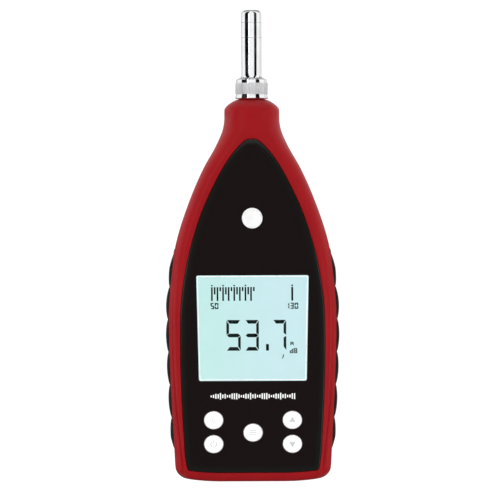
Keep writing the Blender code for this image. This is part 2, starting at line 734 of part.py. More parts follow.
def batteries():
    """Four AA cells, alternately up and down, each with a spring at its flat end."""
    r = CELL_RADIUS
    profile = (
        (0, 0), (r - 0.6, 0), (r, 0.5), (r, CELL_LENGTH - 0.6), (r - 0.8, CELL_LENGTH),
        (2.7, CELL_LENGTH), (2.7, CELL_LENGTH + CELL_NUB), (0, CELL_LENGTH + CELL_NUB),
    )
    middle = (WELL_FOOT + WELL_TOP) / 2
    reach = (WELL_TOP - WELL_FOOT) / 2 - PLATE_THICK - 2 * GAP
    for i, (x, upright) in enumerate(cell_places()):
        sign = 1 if upright else -1
        start = middle + sign * (reach - CELL_LENGTH - CELL_NUB)
        ends = [(radius, sign * place) for radius, place in profile]
        turned(f"battery_{i + 1}", ends, "Z", (x, CELL_Y, start), CELL_JACKET, 18)
        turns, per_turn = 3, 9
        foot = middle - sign * (reach - SPRING_WIRE)
        rise = start - foot - sign * (SPRING_WIRE + GAP)
        coil = []
        for k in range(turns * per_turn + 1):
            share = k / (turns * per_turn)
            a = 2 * math.pi * k / per_turn
            radius = 4.6 - 1.6 * share
            coil.append((x + radius * math.cos(a), CELL_Y + radius * math.sin(a), foot + rise * share))
        tube(f"battery_spring_{i + 1}", coil, SPRING_WIRE, NICKEL, 0)


def contact_plates():
    """Plates on the well's end walls that join neighbouring cells in series."""
    half = CELL_PITCH / 2 - 0.7
    spans = {
        "contact_plate_top_left": (0, 1, True),
        "contact_plate_top_right": (2, 3, True),
        "contact_plate_bottom_left": (0, 0, False),
        "contact_plate_bottom_middle": (1, 2, False),
        "contact_plate_bottom_right": (3, 3, False),
    }
    places = [x for x, _ in cell_places()]
    for name, (first, last, top) in spans.items():
        start = WELL_TOP - GAP - PLATE_THICK if top else WELL_FOOT + GAP
        z = (start, start + PLATE_THICK)
        x = (places[first] - half, places[last] + half)
        block(name, x, (CELL_Y - 5.5, CELL_Y + 5.5), z, NICKEL)


def battery_door():
    door = extruded("battery_door", door_outline(0.0), "Y", BACK - DOOR_THICK, BACK, RED_PLASTIC)
    at = (0, 0, DOOR_SCREW_Z)
    cut(door, stepped_hole("door_hole", 1.9, 4.0, 0, BACK - 1.3, at))
    screw("battery_door_screw", 0, DOOR_SCREW_Z, BACK - 1.3 + GAP, 3.7, 0.9, 1.5, 4.9)


def screw(name, x, z, seat, head_radius, head_height, shank_radius, shank_length):
    """A screw driven towards -Y, with a cross recess in its head."""
    profile = (
        (0, seat - shank_length), (shank_radius * 0.8, seat - shank_length),
        (shank_radius, seat), (head_radius, seat),
        (head_radius, seat + head_height * 0.6), (head_radius * 0.85, seat + head_height),
        (0, seat + head_height),
    )
    made = turned(name, profile, "Y", (x, 0, z), STEEL, 14)
    long, short = head_radius * 0.6, head_radius * 0.15
    cross = [
        (short, long), (-short, long), (-short, short), (-long, short), (-long, -short),
        (-short, -short), (-short, -long), (short, -long), (short, -short), (long, -short),
        (long, short), (short, short),
    ]
    top = seat + head_height
    cut(made, extruded(f"{name}_recess", cross, "Y", top - head_height * 0.6, top + 1, None, (x, 0, z)))


def case_screws():
    corners = ("lower_left", "lower_right", "upper_left", "upper_right")
    for corner, (x, z) in zip(corners, CASE_SCREWS):
        screw(f"case_screw_{corner}", x, z, SCREW_SEAT + GAP, 2.6, 2.2, 1.3, 15.0)
    for side, (x, z) in zip(("left", "right"), BOARD_SCREWS[2:]):
        screw(f"board_screw_{side}", x, z, BOARD_BACK + GAP, 2.0, 1.4, 1.0, 5.6)


def rear_fittings():
    profile = (
        (TRIPOD_HOLE, 9.0), (5.0, 9.0), (5.0, BACK - 1.2), (TRIPOD_FLANGE, BACK - 1.2),
        (TRIPOD_FLANGE, BACK), (TRIPOD_HOLE, BACK),
    )
    turned("tripod_bush", profile, "Y", (0, 0, TRIPOD_Z), BRASS, 24)
    outline = rounded_box(LABEL_HALF, LABEL_Z, 2.0)
    extruded("rear_label", outline, "Y", BACK - LABEL_THICK, BACK, LABEL_SILVER)


def foot_fittings():
    """An output jack and a calibration trimmer, reached through holes in the foot."""
    y = FOOT_FITTINGS_Y
    profile = (
        (0, 9.6), (3.6, 9.6), (3.6, 4.8), (2.8, 4.8), (2.8, 0.6), (1.8, 0.6), (1.8, 8.4), (0, 8.4),
    )
    turned("output_jack", profile, "Z", (JACK_X, y, 0), BLACK_PLASTIC)
    trimmer = rod("calibration_trimmer", 1.5, "Z", 1.0, 4.9, (-JACK_X, y, 0), BRASS, 16)
    slot = block("trimmer_slot", (-JACK_X - 2, -JACK_X + 2), (y - 0.3, y + 0.3), (-1, 1.7), None)
    cut(trimmer, slot)


def main():
    clear_scene()
    front_shell()
    rear_shell()
    face_panel()
    display()
    keys()
    badge()
    grip("grip_left", -1)
    grip("grip_right", 1)
    microphone()
    boards()
    batteries()
    contact_plates()
    battery_door()
    case_screws()
    rear_fittings()
    foot_fittings()


main()
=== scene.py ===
"""The looks of a hand-held sound level meter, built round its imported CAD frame.

Shapes are worked out in millimetres in the frame's axes: +Z up along the meter, its face
towards -Y, the origin in the middle of its foot. The outline numbers are the CAD's own.
"""

import math

import bmesh
import bpy
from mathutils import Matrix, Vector


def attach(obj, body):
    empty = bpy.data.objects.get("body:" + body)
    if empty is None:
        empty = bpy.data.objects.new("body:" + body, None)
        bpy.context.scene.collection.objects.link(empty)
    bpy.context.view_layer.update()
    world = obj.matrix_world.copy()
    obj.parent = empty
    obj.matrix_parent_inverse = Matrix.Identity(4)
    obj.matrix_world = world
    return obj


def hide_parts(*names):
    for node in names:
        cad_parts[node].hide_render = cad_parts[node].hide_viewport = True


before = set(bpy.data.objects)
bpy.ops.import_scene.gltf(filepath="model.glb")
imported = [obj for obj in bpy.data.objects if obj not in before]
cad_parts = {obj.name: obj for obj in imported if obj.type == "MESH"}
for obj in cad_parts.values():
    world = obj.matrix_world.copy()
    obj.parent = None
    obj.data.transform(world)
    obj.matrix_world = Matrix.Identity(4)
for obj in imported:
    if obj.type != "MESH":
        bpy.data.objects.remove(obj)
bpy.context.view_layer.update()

# A millimetre in metres and the angle (degrees) past which an edge looks sharp. Then, in
# millimetres: the clearance between pieces, how far the shells' edges are rounded, where
# cutters for the face start, and the neck's bore.
MM = 0.001
SHARP = 35
GAP = 0.3
EDGE_ROUND = 0.35
CUT_FRONT = -20
BORE_RADIUS = 4.8
BORE_SPAN = (185, 205)

# Case outline. Stations: height, half width, front depth, back depth, corner width, depth.
CASE_STATIONS = (
    (6.0, 40.4, 17.0, 18.0, 7.0, 9.0),
    (24.0, 41.3, 17.0, 18.0, 7.0, 9.0),
    (49.0, 42.6, 17.0, 18.0, 7.0, 9.0),
    (72.0, 43.4, 17.0, 18.0, 7.0, 9.0),
    (91.0, 43.4, 17.0, 18.0, 7.0, 9.0),
    (106.0, 42.1, 17.0, 18.0, 7.0, 9.0),
    (122.0, 40.0, 17.0, 18.0, 7.5, 9.0),
    (141.0, 34.3, 17.0, 18.0, 8.0, 9.0),
    (162.0, 25.5, 17.0, 17.6, 9.0, 10.0),
    (174.0, 18.8, 16.9, 16.4, 10.0, 12.0),
    (182.4, 15.2, 15.7, 15.0, 12.0, 14.0),
    (188.0, 14.3, 14.5, 14.3, 12.2, 13.6),
    (192.8, 14.3, 14.3, 14.3, 12.2, 13.6),
)
NECK_SHOULDER = 192.8
NECK_TOP = 199.0
NECK_RADIUS = 14.3
NECK_FLAT = 3.0
NECK_DOME_POWER = 0.75
FOOT_ROUND = 6.0
FOOT_DEPTH_ROUND = 3.0
FOOT_FLAT = 16.0
FOOT_RISE = 1.6
FOOT_RISE_REACH = 20.0
WALL = 2.4
PARTING = 2.0
TONGUE_INSET = 0.9
TONGUE_REACH = 0.9
CREASE_DEPTH = 1.1
CREASE_WIDTH = 0.6
DIP_DEPTH = 0.5
DIP_WIDTH = 3.5

# Face panel: height and half width.
PANEL_STATIONS = (
    (5.0, 33.8), (14.0, 35.1), (24.0, 35.7), (49.0, 36.9), (74.0, 37.3), (91.0, 36.9),
    (107.0, 34.9), (120.0, 32.2), (141.0, 25.4), (157.0, 17.9), (166.0, 12.7), (171.0, 9.0),
    (174.0, 6.4), (175.8, 4.4),
)
PANEL_TIP = 177.5
PANEL_FOOT = 4.7
PANEL_CORNER = 0.9
PANEL_FRONT = -17.0
PANEL_BACK = -15.4
PANEL_CROWN = 0.35
PANEL_CROWN_WIDTH = 4.2
SHELL_FACE = -15.1
SHELF_BACK = -13.1

# Heights on the silhouette that match heights on the panel's edge, as (panel, silhouette).
RIM_MATCHES = (
    (20, 21.5), (74, 74), (107, 108.5), (141, 145.5), (157, 164), (166, 176), (171, 182.5),
    (175.8, 187.5),
)

# Display.
DISPLAY_Z = 79.5
WINDOW_HALF = (28.4, 27.2)
WINDOW_LEAN = 0.6
CELL_HALF = (29.7, 28.8)
CELL_FRONT = -15.0
CELL_BACK = -13.0
PRINT_Y = (-15.10, -15.04)

# Keys and badge.
KEYS = {
    "key_power": (-20.4, 19.4),
    "key_light": (-20.4, 31.8),
    "key_menu": (0.0, 25.3),
    "key_up": (20.4, 31.8),
    "key_down": (20.4, 19.4),
}
KEY_RADIUS = 4.85
KEY_FLATTENING = 0.93
KEY_FLANGE_RADIUS = 5.9
KEY_FRONT = -17.9
KEY_DOME = 0.4
BADGE_Z = 136.5
BADGE_RADIUS = 5.35

# Grips.
GRIP_FOOT = 17.0
GRIP_TOP = 121.0
GRIP_SIDES = (-7.0, 8.0)
GRIP_NOTCH = 33.1
GRIP_PITCH = 17.0
GRIP_SUNK = 1.0

# Microphone.
COLLAR_FOOT = 198.6
COLLAR_TOP = 209.3
COLLAR_RADIUS = 8.45
TUBE_RADIUS = 5.25
STEM_TOP = 230.3
CAPSULE_TOP = 238.2
MIC_TOP = 244.8

# Back of the case.
BACK = 18.0
CAVITY_HEIGHTS = (
    2.6, 8, 14, 30, 45, 60, 75, 91, 103, 114, 125, 136, 147, 158, 167, 175, 182, 188, 194,
)
WELL_X = 30.4
WELL_SPAN = (14.0, 73.5)
DOOR_THICK = 2.0
DOOR_LEDGE = 2.0
DOOR_SCREW_Z = 79.0
DOOR_TAB = 7.0
CASE_SCREWS = {
    "case_screw_lower_left": (-29.0, 7.6),
    "case_screw_lower_right": (29.0, 7.6),
    "case_screw_upper_left": (-26.0, 136.0),
    "case_screw_upper_right": (26.0, 136.0),
}
TRIPOD_Z = 96.0
LABEL_Z = 120.0
LABEL_HALF = (18.0, 10.0)
FITTING_X = 18.0
FITTING_Y = -6.0
BOSS_END = 16.8
MOUTH_CHAMFER = 0.25
WELL_WALL = 1.6

# Studio: sky brightness, floor height, the lens, how wide the camera sees (metres), where
# it stands and how far it leans (degrees).
WORLD_BELOW = 0.38
WORLD_ABOVE = 0.60
SURROUND = 0.10
FLOOR_Z = -0.0002
LENS = 800.0
SENSOR = 36.0
FRAME_WIDTH = 0.260
CAMERA_X = -0.0012
CAMERA_Z = 0.120
CAMERA_ROLL = 0.24

# Lights: name, place, the height on the meter's axis that they aim at, size (metres), power
# (watts), and whether glossy surfaces mirror them.
LIGHTS = (
    ("key", (-0.85, -1.1, 0.50), 0.08, (0.5, 0.9), 7.6, True),
    ("fill", (0.9, -1.0, 0.20), 0.08, (0.5, 0.8), 6.3, True),
    ("top", (0.0, 0.3, 1.1), 0.15, (0.7, 0.5), 2.0, True),
    ("low", (0.0, -0.9, -0.35), 0.0, (0.8, 0.3), 1.6, False),
    ("back", (-0.5, 1.2, 0.50), 0.10, (0.6, 0.9), 5.0, False),
    ("side_-1", (-1.1, 0.25, 0.20), 0.10, (0.5, 0.7), 6.2, False),
    ("side_1", (1.1, 0.25, 0.20), 0.10, (0.5, 0.7), 6.2, False),
)

# Cards round the microphone, as angles from -Y towards +X: the chrome mirrors them.
# Each is (start, end, bottom, top, brightness), with heights in metres.
CARDS = (
    (-78, -32, 0.19, 1.6, 0.0),
    (-30, 30, 0.19, 1.6, 1.0),
    (31, 60, 0.19, 1.6, 0.0),
    (61, 108, 0.19, 1.6, 1.0),
    (110, 170, 0.19, 0.42, 0.80),
    (110, 250, 0.44, 1.6, 0.05),
    (-134, -80, 0.19, 1.6, 1.0),
    (-170, -136, 0.19, 0.42, 0.62),
)


# -------- outlines

def curve_through(points):
    """A smooth function through (place, value) points: cubic pieces with averaged slopes."""
    steps = [(b[1] - a[1]) / (b[0] - a[0]) for a, b in zip(points, points[1:])]
    slopes = [steps[0]]
    for before, after in zip(steps, steps[1:]):
        slopes.append((before + after) / 2)
    slopes.append(steps[-1])

    def value(place):
        place = min(max(place, points[0][0]), points[-1][0])
        i = max(k for k in range(len(points) - 1) if points[k][0] <= place)
        (start, low), (end, high) = points[i], points[i + 1]
        width = end - start
        t = (place - start) / width
        return (
            low * (1 + 2 * t) * (1 - t) ** 2
            + slopes[i] * width * t * (1 - t) ** 2
            + high * t * t * (3 - 2 * t)
            - slopes[i + 1] * width * t * t * (1 - t)
        )

    return value


def case_curve(column):
    return curve_through([(row[0], row[column]) for row in CASE_STATIONS])


case_half, case_front, case_back, corner_width, corner_depth = map(case_curve, range(1, 6))
panel_half = curve_through(PANEL_STATIONS)
crease_inset = curve_through(((0, 4.2), (7, 4.0), (41, 2.4), (75, 2.3), (115, 2.6)))


def spread(low, high, count):
    """Evenly spaced numbers from low to high."""
    return [low + (high - low) * i / (count - 1) for i in range(count)]


def arc(start, end, steps):
    """Evenly spaced angles in radians, between two that are given in degrees."""
    return [math.radians(degrees) for degrees in spread(start, end, steps)]


def foot_rise(x):
    """How far the case's lower edge curves up, away from the flat that it stands on."""
    past = max(abs(x) - FOOT_FLAT, 0.0)
    return FOOT_RISE * (past / (36.0 - FOOT_FLAT)) ** 2


def foot_inset(height):
    """How far the rounded foot draws the section in at a height, as a share of its radius."""
    if height >= FOOT_ROUND:
        return 0.0
    cosine = 1 - max(height, 0.0) / FOOT_ROUND
    return 1 - math.sqrt(1 - cosine**2)


def dome_share(z):
    """How much of the neck's section is left at a height in its dome."""
    sine = min((z - NECK_SHOULDER) / (NECK_TOP - NECK_SHOULDER), 1.0)
    drop = (1 - math.sqrt(1 - sine**2)) ** NECK_DOME_POWER
    return 1 - (1 - NECK_FLAT / NECK_RADIUS) * drop


def dome_heights(steps):
    """Heights up the neck's dome, above its shoulder."""
    rise = NECK_TOP - NECK_SHOULDER
    return [NECK_SHOULDER + rise * math.sin(a) for a in arc(0, 90, steps)[1:]]


def face_depth(x, z):
    """How far the case's face stands towards -Y at a place in the front view."""
    share = 1.0
    x = abs(x)
    height = z
    if z > NECK_SHOULDER:
        share = dome_share(z)
        x /= share
        height = NECK_SHOULDER
    elif z < FOOT_RISE_REACH:
        rise = foot_rise(x)
        height = (z - rise) / (1 - rise / FOOT_RISE_REACH)
    inset = foot_inset(height)
    half = case_half(height) - FOOT_ROUND * inset
    front = case_front(height) - FOOT_DEPTH_ROUND * inset
    corner = corner_width(height) - FOOT_ROUND * inset * 0.4
    depth = min(corner_depth(height), front * 0.95)
    across = min(max((x - half + corner) / corner, 0.0), 1.0)
    return share * (front - depth * (1 - math.sqrt(1 - across**2)))


def crease(x, z):
    """How deep the line moulded along each side of the face is at a place.

    The face inside the line is a little lower than outside. It fades out above the grips.
    """
    fade = min(max(z / 8, 0.0), 1.0) * min(max((115 - z) / 75, 0.0), 1.0)
    off = (case_half(z) - abs(x) - crease_inset(z)) / CREASE_WIDTH
    groove = math.exp(-off * off)
    step = groove if off < 0 else 1 / (1 + 0.06 * off * off)
    return CREASE_DEPTH * fade * (0.75 * groove + 0.25 * step)


def dip(away, z):
    """How far the upper face sinks towards the panel, at a distance from the panel's edge."""
    rise = min(max((z - 95) / 30, 0.0), 1.0)
    return DIP_DEPTH * rise * max(1 - away / DIP_WIDTH, 0.0) ** 2


def case_section(z, steps, side_in=0.0, back_in=0.0):
    """The back half of the case's section at a height, as (x, y, rise) from -X to +X."""
    inset = foot_inset(z)
    half = case_half(z) - side_in - FOOT_ROUND * inset
    corner = corner_width(z) - (side_in + FOOT_ROUND * inset) * 0.4
    back = case_back(z) - back_in - FOOT_DEPTH_ROUND * inset
    drop = min(corner_depth(z), back * 0.95)
    flat = half - corner
    right = [(flat * share, 0.0) for share in spread(0, 1, 6)[:-1]]
    for a in arc(0, 90, steps):
        right.append((flat + corner * math.sin(a), 1 - math.cos(a)))
    row = [(-x, d) for x, d in reversed(right[1:])] + right
    reach = max(1 - z / FOOT_RISE_REACH, 0.0)
    return [(x, back - drop * d, foot_rise(x) * reach) for x, d in row]


def panel_side(growth, heights):
    """Points along the face panel's right edge, grown outwards."""
    side = []
    for z in heights:
        lean = panel_half(z + 0.5) - panel_half(z - 0.5)
        length = math.hypot(1, lean)
        side.append((panel_half(z) + growth / length, z - growth * lean / length))
    return side


def panel_corner(growth, steps):
    """The rounded lower corner. Its radius stays small where the outline is drawn far in."""
    radius = max(PANEL_CORNER + growth, 0.3)
    middle = panel_half(PANEL_FOOT + PANEL_CORNER) + growth - radius
    points = []
    for a in arc(0, 90, steps):
        x = middle + radius * math.sin(a)
        z = PANEL_FOOT - growth + radius - radius * math.cos(a)
        points.append((x, z + foot_rise(x)))
    return points


def panel_peak(growth, steps):
    """The rounded tip: it leaves the sides along their slope and is level at its top."""
    foot, half = PANEL_STATIONS[-1]
    slope = (half - panel_half(foot - 0.5)) / 0.5
    bend = half + slope * (PANEL_TIP - foot)
    points = []
    for t in spread(0, 1, steps)[1:]:
        x = half * (1 - t) ** 2 + bend * 2 * t * (1 - t)
        z = foot * (1 - t) ** 2 + PANEL_TIP * (2 * t - t * t)
        along = Vector((bend - half + (half - 2 * bend) * t, (PANEL_TIP - foot) * (1 - t)))
        out = Vector((along.y, -along.x)).normalized() * growth
        points.append((x + out.x, z + out.y))
    points[-1] = (0.0, points[-1][1])
    return points


def mirrored(right):
    """A closed outline from its right half, which runs from the bottom to the top middle."""
    return right + [(-x, z) for x, z in reversed(right[1:-1])]


def panel_outline(growth=0.0):
    corner = panel_corner(growth, 7)
    across = spread(0, corner[0][0], 20)[:-1]
    bottom = [(x, PANEL_FOOT - growth + foot_rise(x)) for x in across]
    heights = spread(PANEL_FOOT + 3 - min(growth, 0), PANEL_STATIONS[-1][0], 86)
    side = panel_side(growth, heights)
    return mirrored(bottom + corner + side + panel_peak(growth, 13))


def window_outline(growth=0.0):
    """The display's window: upright sides that lean out towards its top."""
    half = [size + growth for size in WINDOW_HALF]
    lean = WINDOW_LEAN / WINDOW_HALF[1] / WINDOW_HALF[0]
    box = rounded_box(half, DISPLAY_Z, max(0.8 + growth, 0.3))
    return [(x * (1 + lean * (z - DISPLAY_Z)), z) for x, z in box]


def rounded_box(half, middle, radius, steps=7):
    """The (x, z) outline of an upright rectangle with round corners."""
    outline = []
    for sx, sz, start in ((1, -1, 270), (1, 1, 0), (-1, 1, 90), (-1, -1, 180)):
        for a in arc(start, start + 90, steps):
            x = sx * (half[0] - radius) + radius * math.cos(a)
            outline.append((x, middle + sz * (half[1] - radius) + radius * math.sin(a)))
    return outline


# -------- shape tools

def finished_mesh(obj, sharp):
    obj.data.shade_smooth()
    obj.data.set_sharp_from_angle(angle=math.radians(sharp))


def linked(name, data):
    obj = bpy.data.objects.new(name, data)
    bpy.context.scene.collection.objects.link(obj)
    return obj


def object_with(name, made, sharp):
    mesh = bpy.data.meshes.new(name)
    made.to_mesh(mesh)
    made.free()
    obj = linked(name, mesh)
    finished_mesh(obj, sharp)
    return obj


def object_from(name, made, sharp=SHARP):
    """An object from a bmesh in millimetres."""
    bmesh.ops.remove_doubles(made, verts=made.verts, dist=1e-4)
    bmesh.ops.recalc_face_normals(made, faces=made.faces)
    bmesh.ops.scale(made, vec=(MM, MM, MM), verts=made.verts)
    return object_with(name, made, sharp)


def skin(name, rows, torus=False, strips=False, sharp=SHARP):
    """A closed skin over rings of equally many points.

    The ends are single faces, or strips between a ring's two halves. A torus has no ends.
    """
    made = bmesh.new()
    loops = [[made.verts.new(point) for point in row] for row in rows]
    count = len(rows[0])
    pairs = list(zip(loops, loops[1:]))
    if torus:
        pairs.append((loops[-1], loops[0]))
    for lower, upper in pairs:
        for i in range(count):
            j = (i + 1) % count
            made.faces.new((lower[i], lower[j], upper[j], upper[i]))
    if not torus:
        for loop in (loops[0], loops[-1]):
            if strips:
                for i in range(count // 2 - 1):
                    made.faces.new((loop[i], loop[i + 1], loop[-2 - i], loop[-1 - i]))
            else:
                made.faces.new(loop)
    return object_from(name, made, sharp)


def plate(name, outline, layers, sharp=SHARP):
    """A plate across Y from an outline function of growth and its (growth, y) layers."""
    rows = [[(x, y, z) for x, z in outline(grown)] for grown, y in layers]
    return skin(name, rows, sharp=sharp)


def circle(count):
    """Unit vectors round the vertical axis."""
    angles = [2 * math.pi * k / count for k in range(count)]
    return [(math.cos(a), math.sin(a)) for a in angles]


def turned(name, profile, axis, at=(0, 0, 0), segments=96, radius_at=None, sharp=SHARP):
    """A profile of (radius, place) points turned about an axis through a point.

    A profile that starts off the axis is a closed ring. radius_at changes a radius by angle.
    """
    index = "XYZ".index(axis)
    made = bmesh.new()
    hollow = profile[0][0] > 0

    def point(radius, along, a):
        if radius_at:
            radius = radius_at(radius, along, a)
        full = [0.0, 0.0, 0.0]
        full[index] = along
        full[(index + 1) % 3] = radius * math.cos(a)
        full[(index + 2) % 3] = radius * math.sin(a)
        return Vector(full) + Vector(at)

    columns = []
    for k in range(segments):
        a = 2 * math.pi * k / segments
        columns.append([made.verts.new(point(*spot, a)) for spot in profile])
    count = len(profile)
    for k in range(segments):
        left, right = columns[k], columns[(k + 1) % segments]
        for i in range(count if hollow else count - 1):
            j = (i + 1) % count
            made.faces.new((left[i], right[i], right[j], left[j]))
    return object_from(name, made, sharp)


def rounded(profile, radius, steps=4):
    """A profile with its inner points replaced by arcs of about that radius."""
    out = [profile[0]]
    for before, corner, after in zip(profile, profile[1:], profile[2:]):
        here = Vector(corner)
        to_before = Vector(before) - here
        to_after = Vector(after) - here
        reach = min(radius, to_before.length * 0.45, to_after.length * 0.45)
        start = here + to_before.normalized() * reach
        end = here + to_after.normalized() * reach
        for t in spread(0, 1, steps):
            out.append(tuple(start * (1 - t) ** 2 + here * 2 * t * (1 - t) + end * t * t))
    out.append(profile[-1])
    return out


def rod(name, radius, axis, low, high, at, segments=32):
    """A plain cutter for a round hole."""
    return turned(name, ((0, low), (radius, low), (radius, high), (0, high)), axis, at, segments)


def block(name, x, y, z):
    """A box between two corners, given as its spans along X, Y and Z."""
    corners = ((x[0], z[0]), (x[1], z[0]), (x[1], z[1]), (x[0], z[1]))
    return skin(name, [[(a, depth, b) for a, b in corners] for depth in y])


def joined(name, objects):
    """One object from several separate ones."""
    made = bmesh.new()
    for obj in objects:
        made.from_mesh(obj.data)
        bpy.data.objects.remove(obj)
    return object_with(name, made, SHARP)


def combine(target, operation, other):
    """Joins or cuts two closed shapes for good, and removes the second."""
    modifier = target.modifiers.new(operation, "BOOLEAN")
    modifier.operation = operation
    modifier.solver = "EXACT"
    modifier.object = other
    graph = bpy.context.evaluated_depsgraph_get()
    mesh = bpy.data.meshes.new_from_object(target.evaluated_get(graph))
    target.modifiers.clear()
    target.data = mesh
    bpy.data.objects.remove(other)
    finished_mesh(target, SHARP)


def cut(target, *cutters):
    """Cuts closed shapes out of another in one step."""
    combine(target, "DIFFERENCE", joined("cutters", cutters))


# -------- finishes

def feed(node, inputs):
    """Links or sets a node's inputs by name. A colour is three numbers."""
    for name, value in inputs.items():
        socket = node.inputs[name]
        if isinstance(value, bpy.types.NodeSocket):
            node.id_data.links.new(value, socket)
        else:
            socket.default_value = (*value, 1) if socket.type == "RGBA" else value


def added(tree, kind, inputs):
    node = tree.nodes.new("ShaderNode" + kind)
    feed(node, inputs)
    return node


def new_material(name):
    material = bpy.data.materials.new(name)
    material.use_nodes = True
    return material, material.node_tree


def shaded(material, inputs):
    feed(material.node_tree.nodes["Principled BSDF"], inputs)
    return material


def surface_point(tree):
    return tree.nodes.new("ShaderNodeTexCoord").outputs["Object"]


def coordinate(tree, axis, vector=None):
    """One coordinate of a vector, or of the place on the surface in metres."""
    return added(tree, "SeparateXYZ", {"Vector": vector or surface_point(tree)}).outputs[axis]


def noise(tree, size, detail=2.0, point=None):
    """A noise pattern with features about that many millimetres across."""
    inputs = {"Scale": 1 / (size * MM), "Detail": detail, "Vector": point or surface_point(tree)}
    return added(tree, "TexNoise", inputs).outputs["Fac"]


def ranged(tree, value, low, high, start=0.3, end=0.7):
    """A value carried over from one span of numbers to another."""
    inputs = {"Value": value, "From Min": start, "From Max": end, "To Min": low, "To Max": high}
    return added(tree, "MapRange", inputs).outputs["Result"]


def patchy(tree, low, high, size, detail=2.0):
    """A number between two limits that changes in patches of about that many millimetres."""
    return ranged(tree, noise(tree, size, detail), low, high)


def mixed(tree, factor, first, second, mode="MIX"):
    node = tree.nodes.new("ShaderNodeMix")
    node.data_type = "RGBA"
    node.blend_type = mode
    feed(node, {"Factor": factor, "A": first, "B": second})
    return node.outputs["Result"]


def bumped(tree, height, strength, distance):
    """A normal for a relief of up to that many millimetres."""
    inputs = {"Strength": strength, "Distance": distance * MM, "Height": height}
    return added(tree, "Bump", inputs).outputs["Normal"]


UNEVEN_GLOSS = 0.05
GRAIN = 0.35


def finish_with(
    name, colour, roughness, metallic=0.0, specular=0.5, variation=0.06, patch=18.0, relief=0.1,
):
    """A moulded or metal finish: patches of tone, uneven gloss and a fine surface grain."""
    material, tree = new_material(name)
    darker = [c * (1 - variation) for c in colour]
    lighter = [min(c * (1 + variation), 1.0) for c in colour]
    shaded(material, {
        "Base Color": mixed(tree, patchy(tree, 0, 1, patch), darker, lighter),
        "Roughness": patchy(
            tree, roughness - UNEVEN_GLOSS, roughness + UNEVEN_GLOSS, patch / 6, 4.0,
        ),
        "Metallic": metallic,
        "Specular IOR Level": specular,
    })
    if relief:
        shaded(material, {"Normal": bumped(tree, noise(tree, GRAIN, 3.0), relief, 0.02)})
    return material


def clear_finish():
    material, tree = new_material("window_clear")
    return shaded(material, {
        "Base Color": (0.97, 1.0, 1.0),
        "Transmission Weight": 1.0,
        "IOR": 1.4,
        "Specular IOR Level": 0.35,
        "Roughness": patchy(tree, 0.01, 0.04, 12.0),
    })


def lit_cell_finish():
    """The backlit display: greener at its left, bluer at its right, a little cloudy."""
    material, tree = new_material("lcd_lit")
    half = CELL_HALF[0] * MM
    across = ranged(tree, coordinate(tree, "X"), 0, 1, -half, half * 0.3)
    tint = mixed(tree, across, (0.595, 0.885, 0.845), (0.637, 0.866, 0.900))
    return shaded(material, {
        "Emission Color": mixed(tree, 1.0, tint, patchy(tree, 0.97, 1.0, 14.0), "MULTIPLY"),
        "Emission Strength": 1.0,
        "Base Color": (0.03, 0.04, 0.04),
        "Roughness": patchy(tree, 0.35, 0.5, 3.0),
    })


def pearl_finish():
    """Pearly white key caps with a faint mottle and a faint painted glow that brightens them."""
    material, tree = new_material("key_pearl")
    mottle = ranged(tree, noise(tree, 1.6, 4.0), 0, 1, 0.35, 0.65)
    return shaded(material, {
        "Base Color": mixed(tree, mottle, (0.88, 0.88, 0.88), (0.95, 0.95, 0.95)),
        "Roughness": ranged(tree, mottle, 0.22, 0.38, 0, 1),
        # Painted glow: the caps give off a little light of their own, though they are no lamp.
        "Emission Color": (1.0, 1.0, 0.99),
        "Emission Strength": 0.13,
        "Coat Weight": 0.3,
        "Normal": bumped(tree, noise(tree, 0.5, 3.0), 0.12, 0.02),
    })


def panel_finish():
    """Black gloss plastic with a painted greenish sheen where the surface turns down at its edge."""
    material, tree = new_material("panel_gloss")
    normal = tree.nodes.new("ShaderNodeTexCoord").outputs["Normal"]
    painted_sheen_mask = ranged(tree, coordinate(tree, "Y", normal), 0, 1, -0.9995, -0.990)
    return shaded(material, {
        # Painted sheen: the colour turns greenish where the edge turns down, in place of a reflection
        # there.
        "Base Color": mixed(tree, painted_sheen_mask, (0.0100, 0.0068, 0.0068), (0.0078, 0.0095, 0.0080)),
        "Roughness": patchy(tree, 0.13, 0.19, 5.0, 4.0),
        "Specular IOR Level": 0.2,
    })


def rubber_finish():
    """Matt moulded rubber with a fine pebbled skin."""
    material, tree = new_material("grip_rubber")
    pebbles = {"Scale": 1 / (0.7 * MM), "Vector": surface_point(tree)}
    height = added(tree, "TexVoronoi", pebbles).outputs["Distance"]
    patches = patchy(tree, 0, 1, 9.0, 4.0)
    return shaded(material, {
        "Base Color": mixed(tree, patches, (0.008, 0.008, 0.008), (0.015, 0.015, 0.015)),
        "Roughness": patchy(tree, 0.62, 0.82, 2.0),
        "Specular IOR Level": 0.3,
        "Normal": bumped(tree, height, 0.35, 0.06),
    })


def brushed_finish(name, colour, roughness, stretch=(1, 1, 1), fine=0.3):
    """Metal with fine brushed lines: stretch is their scale along X, Y and Z."""
    material, tree = new_material(name)
    mapping = added(tree, "Mapping", {"Vector": surface_point(tree), "Scale": stretch})
    lines = noise(tree, fine, 4.0, mapping.outputs["Vector"])
    darker = [c * 0.9 for c in colour]
    return shaded(material, {
        "Base Color": mixed(tree, patchy(tree, 0, 1, 6.0), darker, colour),
        "Roughness": ranged(tree, lines, roughness, roughness * 1.8),
        "Metallic": 1.0,
        "Normal": bumped(tree, lines, 0.08, 0.01),
    })


def chrome_finish(name, roughness):
    """Bright plating: nearly a mirror, with faint handling marks."""
    material, tree = new_material(name)
    marks = ranged(tree, noise(tree, 5.0, 5.0), 0, 1, 0.35, 0.65)
    return shaded(material, {
        "Base Color": mixed(tree, marks, (0.86, 0.87, 0.88), (0.93, 0.93, 0.94)),
        "Roughness": ranged(tree, marks, roughness, roughness * 2, 0, 1),
        "Metallic": 1.0,
        "Normal": bumped(tree, noise(tree, 0.4, 2.0), 0.02, 0.01),
    })


